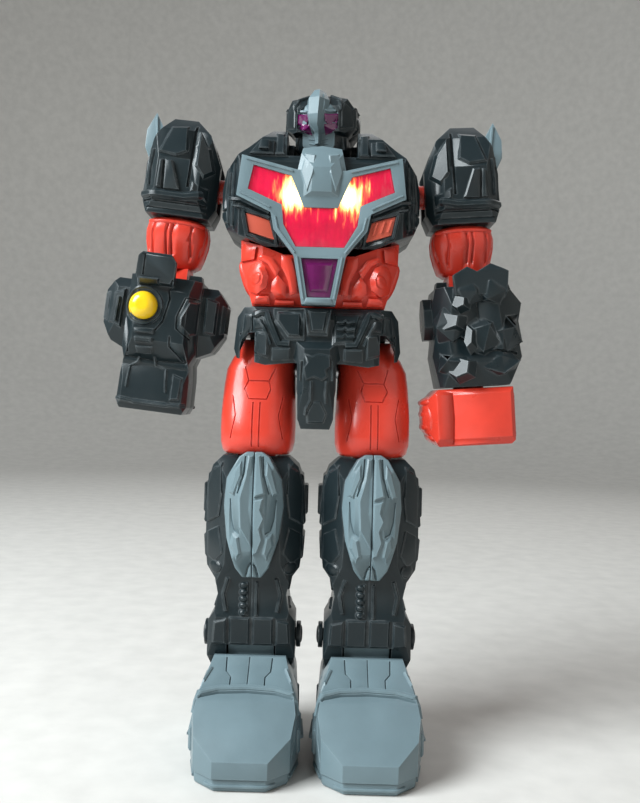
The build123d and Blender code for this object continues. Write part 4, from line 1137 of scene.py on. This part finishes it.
def shin_details(name, half):
    """Details of one half of the lower leg; u is measured towards that half's own side."""
    own = SIDES[name] * (1 if half == "outer" else -1)

    def details(bm, skin):
        for view in ("front", "back"):
            plates(bm, skin, own, view, [
                ([(8.4, 73.8), (11, 72), (12.2, 68), (12.2, 58), (9, 60), (8.2, 66)], 0.6, 0.4),
                ([(9, 57.4), (12, 55.6), (12, 49.6), (9.6, 48), (7.6, 51)], 0.5, 0.4),
                ([(0.4, 34.2), (5.6, 34.2), (5.6, 27), (0.4, 27)], 0.7, 0.4),
                ([(6.4, 33.8), (9.6, 33), (10, 27.4), (6.4, 27)], 0.9, 0.4),
            ])
            rib(bm, skin, flip([(6.2, 44.4), (7.4, 40), (6.6, 35.6)], own), 0.9, 0.6, view)
            rib(bm, skin, flip([(1.2, 34.6), (1.2, 43.4)], own), 0.7, 0.5, view)
            lobe(bm, skin, (own * 9.6, 47), (1.7, 1.7), 0, 0.9, view)
        for step in range(5 if own < 0 else 0):
            lobe(bm, skin, (-2.1, 35.4 + step * 1.7), (1.2, 1.0), 0, 1.1)
        plates(bm, skin, 1, outside(own), [
            ([(-6, 58), (6, 57), (5, 71), (-5, 71)], 0.6, 0.5),
            ([(-3.4, 60.4), (3.4, 60), (3, 68), (-3, 68)], 1.1, 0.4),
            ([(-5.4, 49), (5.4, 49), (6, 55), (-6, 55)], 0.5, 0.4),
        ])
        rib(bm, skin, [(-4, 36), (0, 37.5), (4, 36)], 1.0, 0.6, outside(own))
        rib(bm, skin, [(-4, 41), (0, 43), (4, 41)], 1.0, 0.6, outside(own))
        plate(bm, skin, flip([(1.4, 48), (6, 49), (6.4, 57), (1.4, 58)], own), 0.6, 0.5, "back")

    return details


def guard_details(bm, skin):
    """A smooth flared spine on one side of the seam and a torn-looking strip on the other."""
    torn = [(0.25, 64.8), (2.6, 65.4), (2.0, 62.6), (3.0, 60.4), (1.9, 57.8), (2.6, 55)]
    torn += [(1.4, 51.6), (0.25, 51)]
    plates(bm, skin, 1, "front", [
        ([(-0.25, 76), (-1.5, 76), (-2.2, 70.6), (-3.6, 65.4), (-3.2, 58), (-0.25, 53.4)], 0.8, 0.4),
        ([(0.25, 76), (1.5, 76), (2.2, 70.6), (3.0, 66.6), (0.25, 65.6)], 0.8, 0.4),
        (torn, 0.7, 0.3),
    ])
    for sign in (-1, 1):
        plates(bm, skin, sign, "front", [
            ([(3.4, 55.6), (5.0, 56.6), (5.6, 53.4), (3.8, 49.6), (2.6, 51.4)], 0.7, 0.6),
            ([(3.2, 74.6), (4.8, 72.4), (6.4, 66.4), (4.8, 65.8), (2.9, 71)], 0.5, 0.5),
        ])


def guard_lines(sign):
    return [
        (flip([(2.2, 75.8), (2.5, 71.2), (4.0, 66.4)], sign), "front", 0.6, 0.6),
        (flip([(5.8, 65), (5.4, 60), (4.6, 57.2), (3.2, 56.4)], sign), "front", 0.6, 0.5),
        (flip([(0, 49.4), (1.0, 47.6), (1.6, 45)], sign), "front", 0.8, 0.9),
    ]


def foot_details(bm, skin):
    """A long low toe cap under an arched lip, and panels on the sides and heel."""
    trim(bm, (0, -34.6, 7.0), (0, -0.62, 0.785))
    soften(bm, 0.4, 2, 30)
    skin = skin_of(bm)
    lip = [(-12.6, -20.2), (-7, -18.6), (0, -18.2), (7, -18.6), (12.6, -20.2)]
    rib(bm, skin, lip, 1.5, 0.7, "top", 0.6)
    for own in (-1, 1):
        plate(bm, skin, flip([(9.0, -13), (10.6, -17), (11.8, -17.6), (11, -11)], own), 0.6, 0.4, "top")
        plates(bm, skin, 1, outside(own), [
            ([(-22, 4.6), (-5, 4.6), (-6.6, 10), (-15, 12.4), (-22.4, 10.4)], 0.7, 0.5),
            ([(0.6, 4.8), (10.8, 4.8), (10, 12.4), (2.6, 14)], 0.7, 0.5),
        ])
        rib(bm, skin, [(-19, 7.6), (-9, 8.2)], 1.0, 1.2, outside(own))
        plate(bm, skin, flip([(1, 5), (7, 5), (7.6, 17), (4, 20), (1, 20)], own), 0.6, 0.5, "back")


FOOT_LINES = [
    ([(0, -9.8), (0, -18)], "top", 0.4, 0.4),
    ([(-12.8, -21.4), (-7, -19.8), (0, -19.4), (7, -19.8), (12.8, -21.4)], "top", 1.1, 0.9),
]
for foot_side in (-1, 1):
    FOOT_LINES += [
        (flip([(5.8, -10), (5.6, -13.6), (4.3, -15.2), (4.3, -18)], foot_side), "top", 0.5, 0.5),
        ([(-24.4, 13.4), (-25.4, 9), (-28.6, 5.4)], outside(foot_side), 0.8, 0.8),
        ([(-4, 4.4), (-3.4, 14), (-7, 19)], outside(foot_side), 0.6, 0.5),
    ]


def sole_details(bm, skin):
    for own in (-1, 1):
        rib(bm, skin, [(-28, 1.4), (-4, 1.4), (10, 1.4)], 0.8, 0.5, outside(own))
    rib(bm, skin, [(-8, 1.4), (8, 1.4)], 0.8, 0.5)


def pin_details(bm, skin):
    for view in ("plus_x", "minus_x"):
        lobe(bm, skin, (0, 28), (2.3, 2.3), 0, 0.5, view)


for side_name in SIDES:
    thigh_piece(side_name)
    for half_name in ("inner", "outer"):
        node_name = f"{side_name}_shin_{half_name}"
        simple(node_name, LEG[side_name], 0.5, 2, shin_details(side_name, half_name))
    both_guard_lines = guard_lines(-1) + guard_lines(1)
    simple(f"{side_name}_knee_guard", LEG[side_name], 0.5, 3, guard_details, 26, both_guard_lines)
    simple(f"{side_name}_ankle_pin", LEG[side_name], 0.3, 2, pin_details)
    simple(f"{side_name}_foot_upper", LEG[side_name], 0.7, 3, foot_details, 32, FOOT_LINES)
    simple(f"{side_name}_foot_sole", LEG[side_name], 0.3, 2, sole_details)


# ---------------------------------------------------------------- stage and light


FLOOR_RADIUS = 0.9
BEND_RADIUS = 0.5
WALL_TOP = 1.4


def stage_bowl():
    """A floor that curves up far behind the figure on every side."""
    bm = bmesh.new()
    profile = [(0.02, 0), (FLOOR_RADIUS, 0)]
    for degrees in range(10, 91, 10):
        angle = math.radians(degrees)
        profile.append((FLOOR_RADIUS + BEND_RADIUS * math.sin(angle), BEND_RADIUS * (1 - math.cos(angle))))
    profile.append((FLOOR_RADIUS + BEND_RADIUS, WALL_TOP))
    sections = [ring((0, 0, height), radius, 64, 2) for radius, height in profile]
    loops = loft(bm, sections, closed_ends=False)
    cap(bm, loops[0])
    bmesh.ops.recalc_face_normals(bm, faces=bm.faces)
    mesh = bpy.data.meshes.new("floor")
    bm.to_mesh(mesh)
    bm.free()
    mesh.shade_smooth()
    floor = bpy.data.objects.new("floor", mesh)
    bpy.context.scene.collection.objects.link(floor)
    card = plastic("floor_card", (0.62, 0.60, 0.57), (0.7, 0.8), worn=1.0, mottle=0.97, grain=0.02)
    mesh.materials.append(card)


def area_light(name, place, target, size, energy, colour):
    data = bpy.data.lights.new(name, "AREA")
    data.size = size
    data.energy = energy
    data.color = colour
    light = bpy.data.objects.new(name, data)
    light.location = place
    light.rotation_euler = (Vector(target) - Vector(place)).to_track_quat("-Z", "Y").to_euler()
    bpy.context.scene.collection.objects.link(light)


stage_bowl()
area_light("window_light", (-0.52, -0.30, 0.5), (0, 0, 0.09), 0.45, 12, (0.90, 0.97, 1.0))
area_light("fill_light", (0.5, -0.5, 0.3), (0, 0, 0.09), 0.6, 0.8, (1.0, 0.95, 0.9))
area_light("rim_light", (0.15, 0.5, 0.6), (0, 0, 0.1), 0.5, 1, (1, 1, 1))
world = bpy.data.worlds.new("studio")
world.use_nodes = True
world.node_tree.nodes["Background"].inputs["Color"].default_value = (0.80, 0.82, 0.85, 1)
world.node_tree.nodes["Background"].inputs["Strength"].default_value = 0.26
bpy.context.scene.world = world
bpy.context.scene.view_settings.view_transform = "Standard"
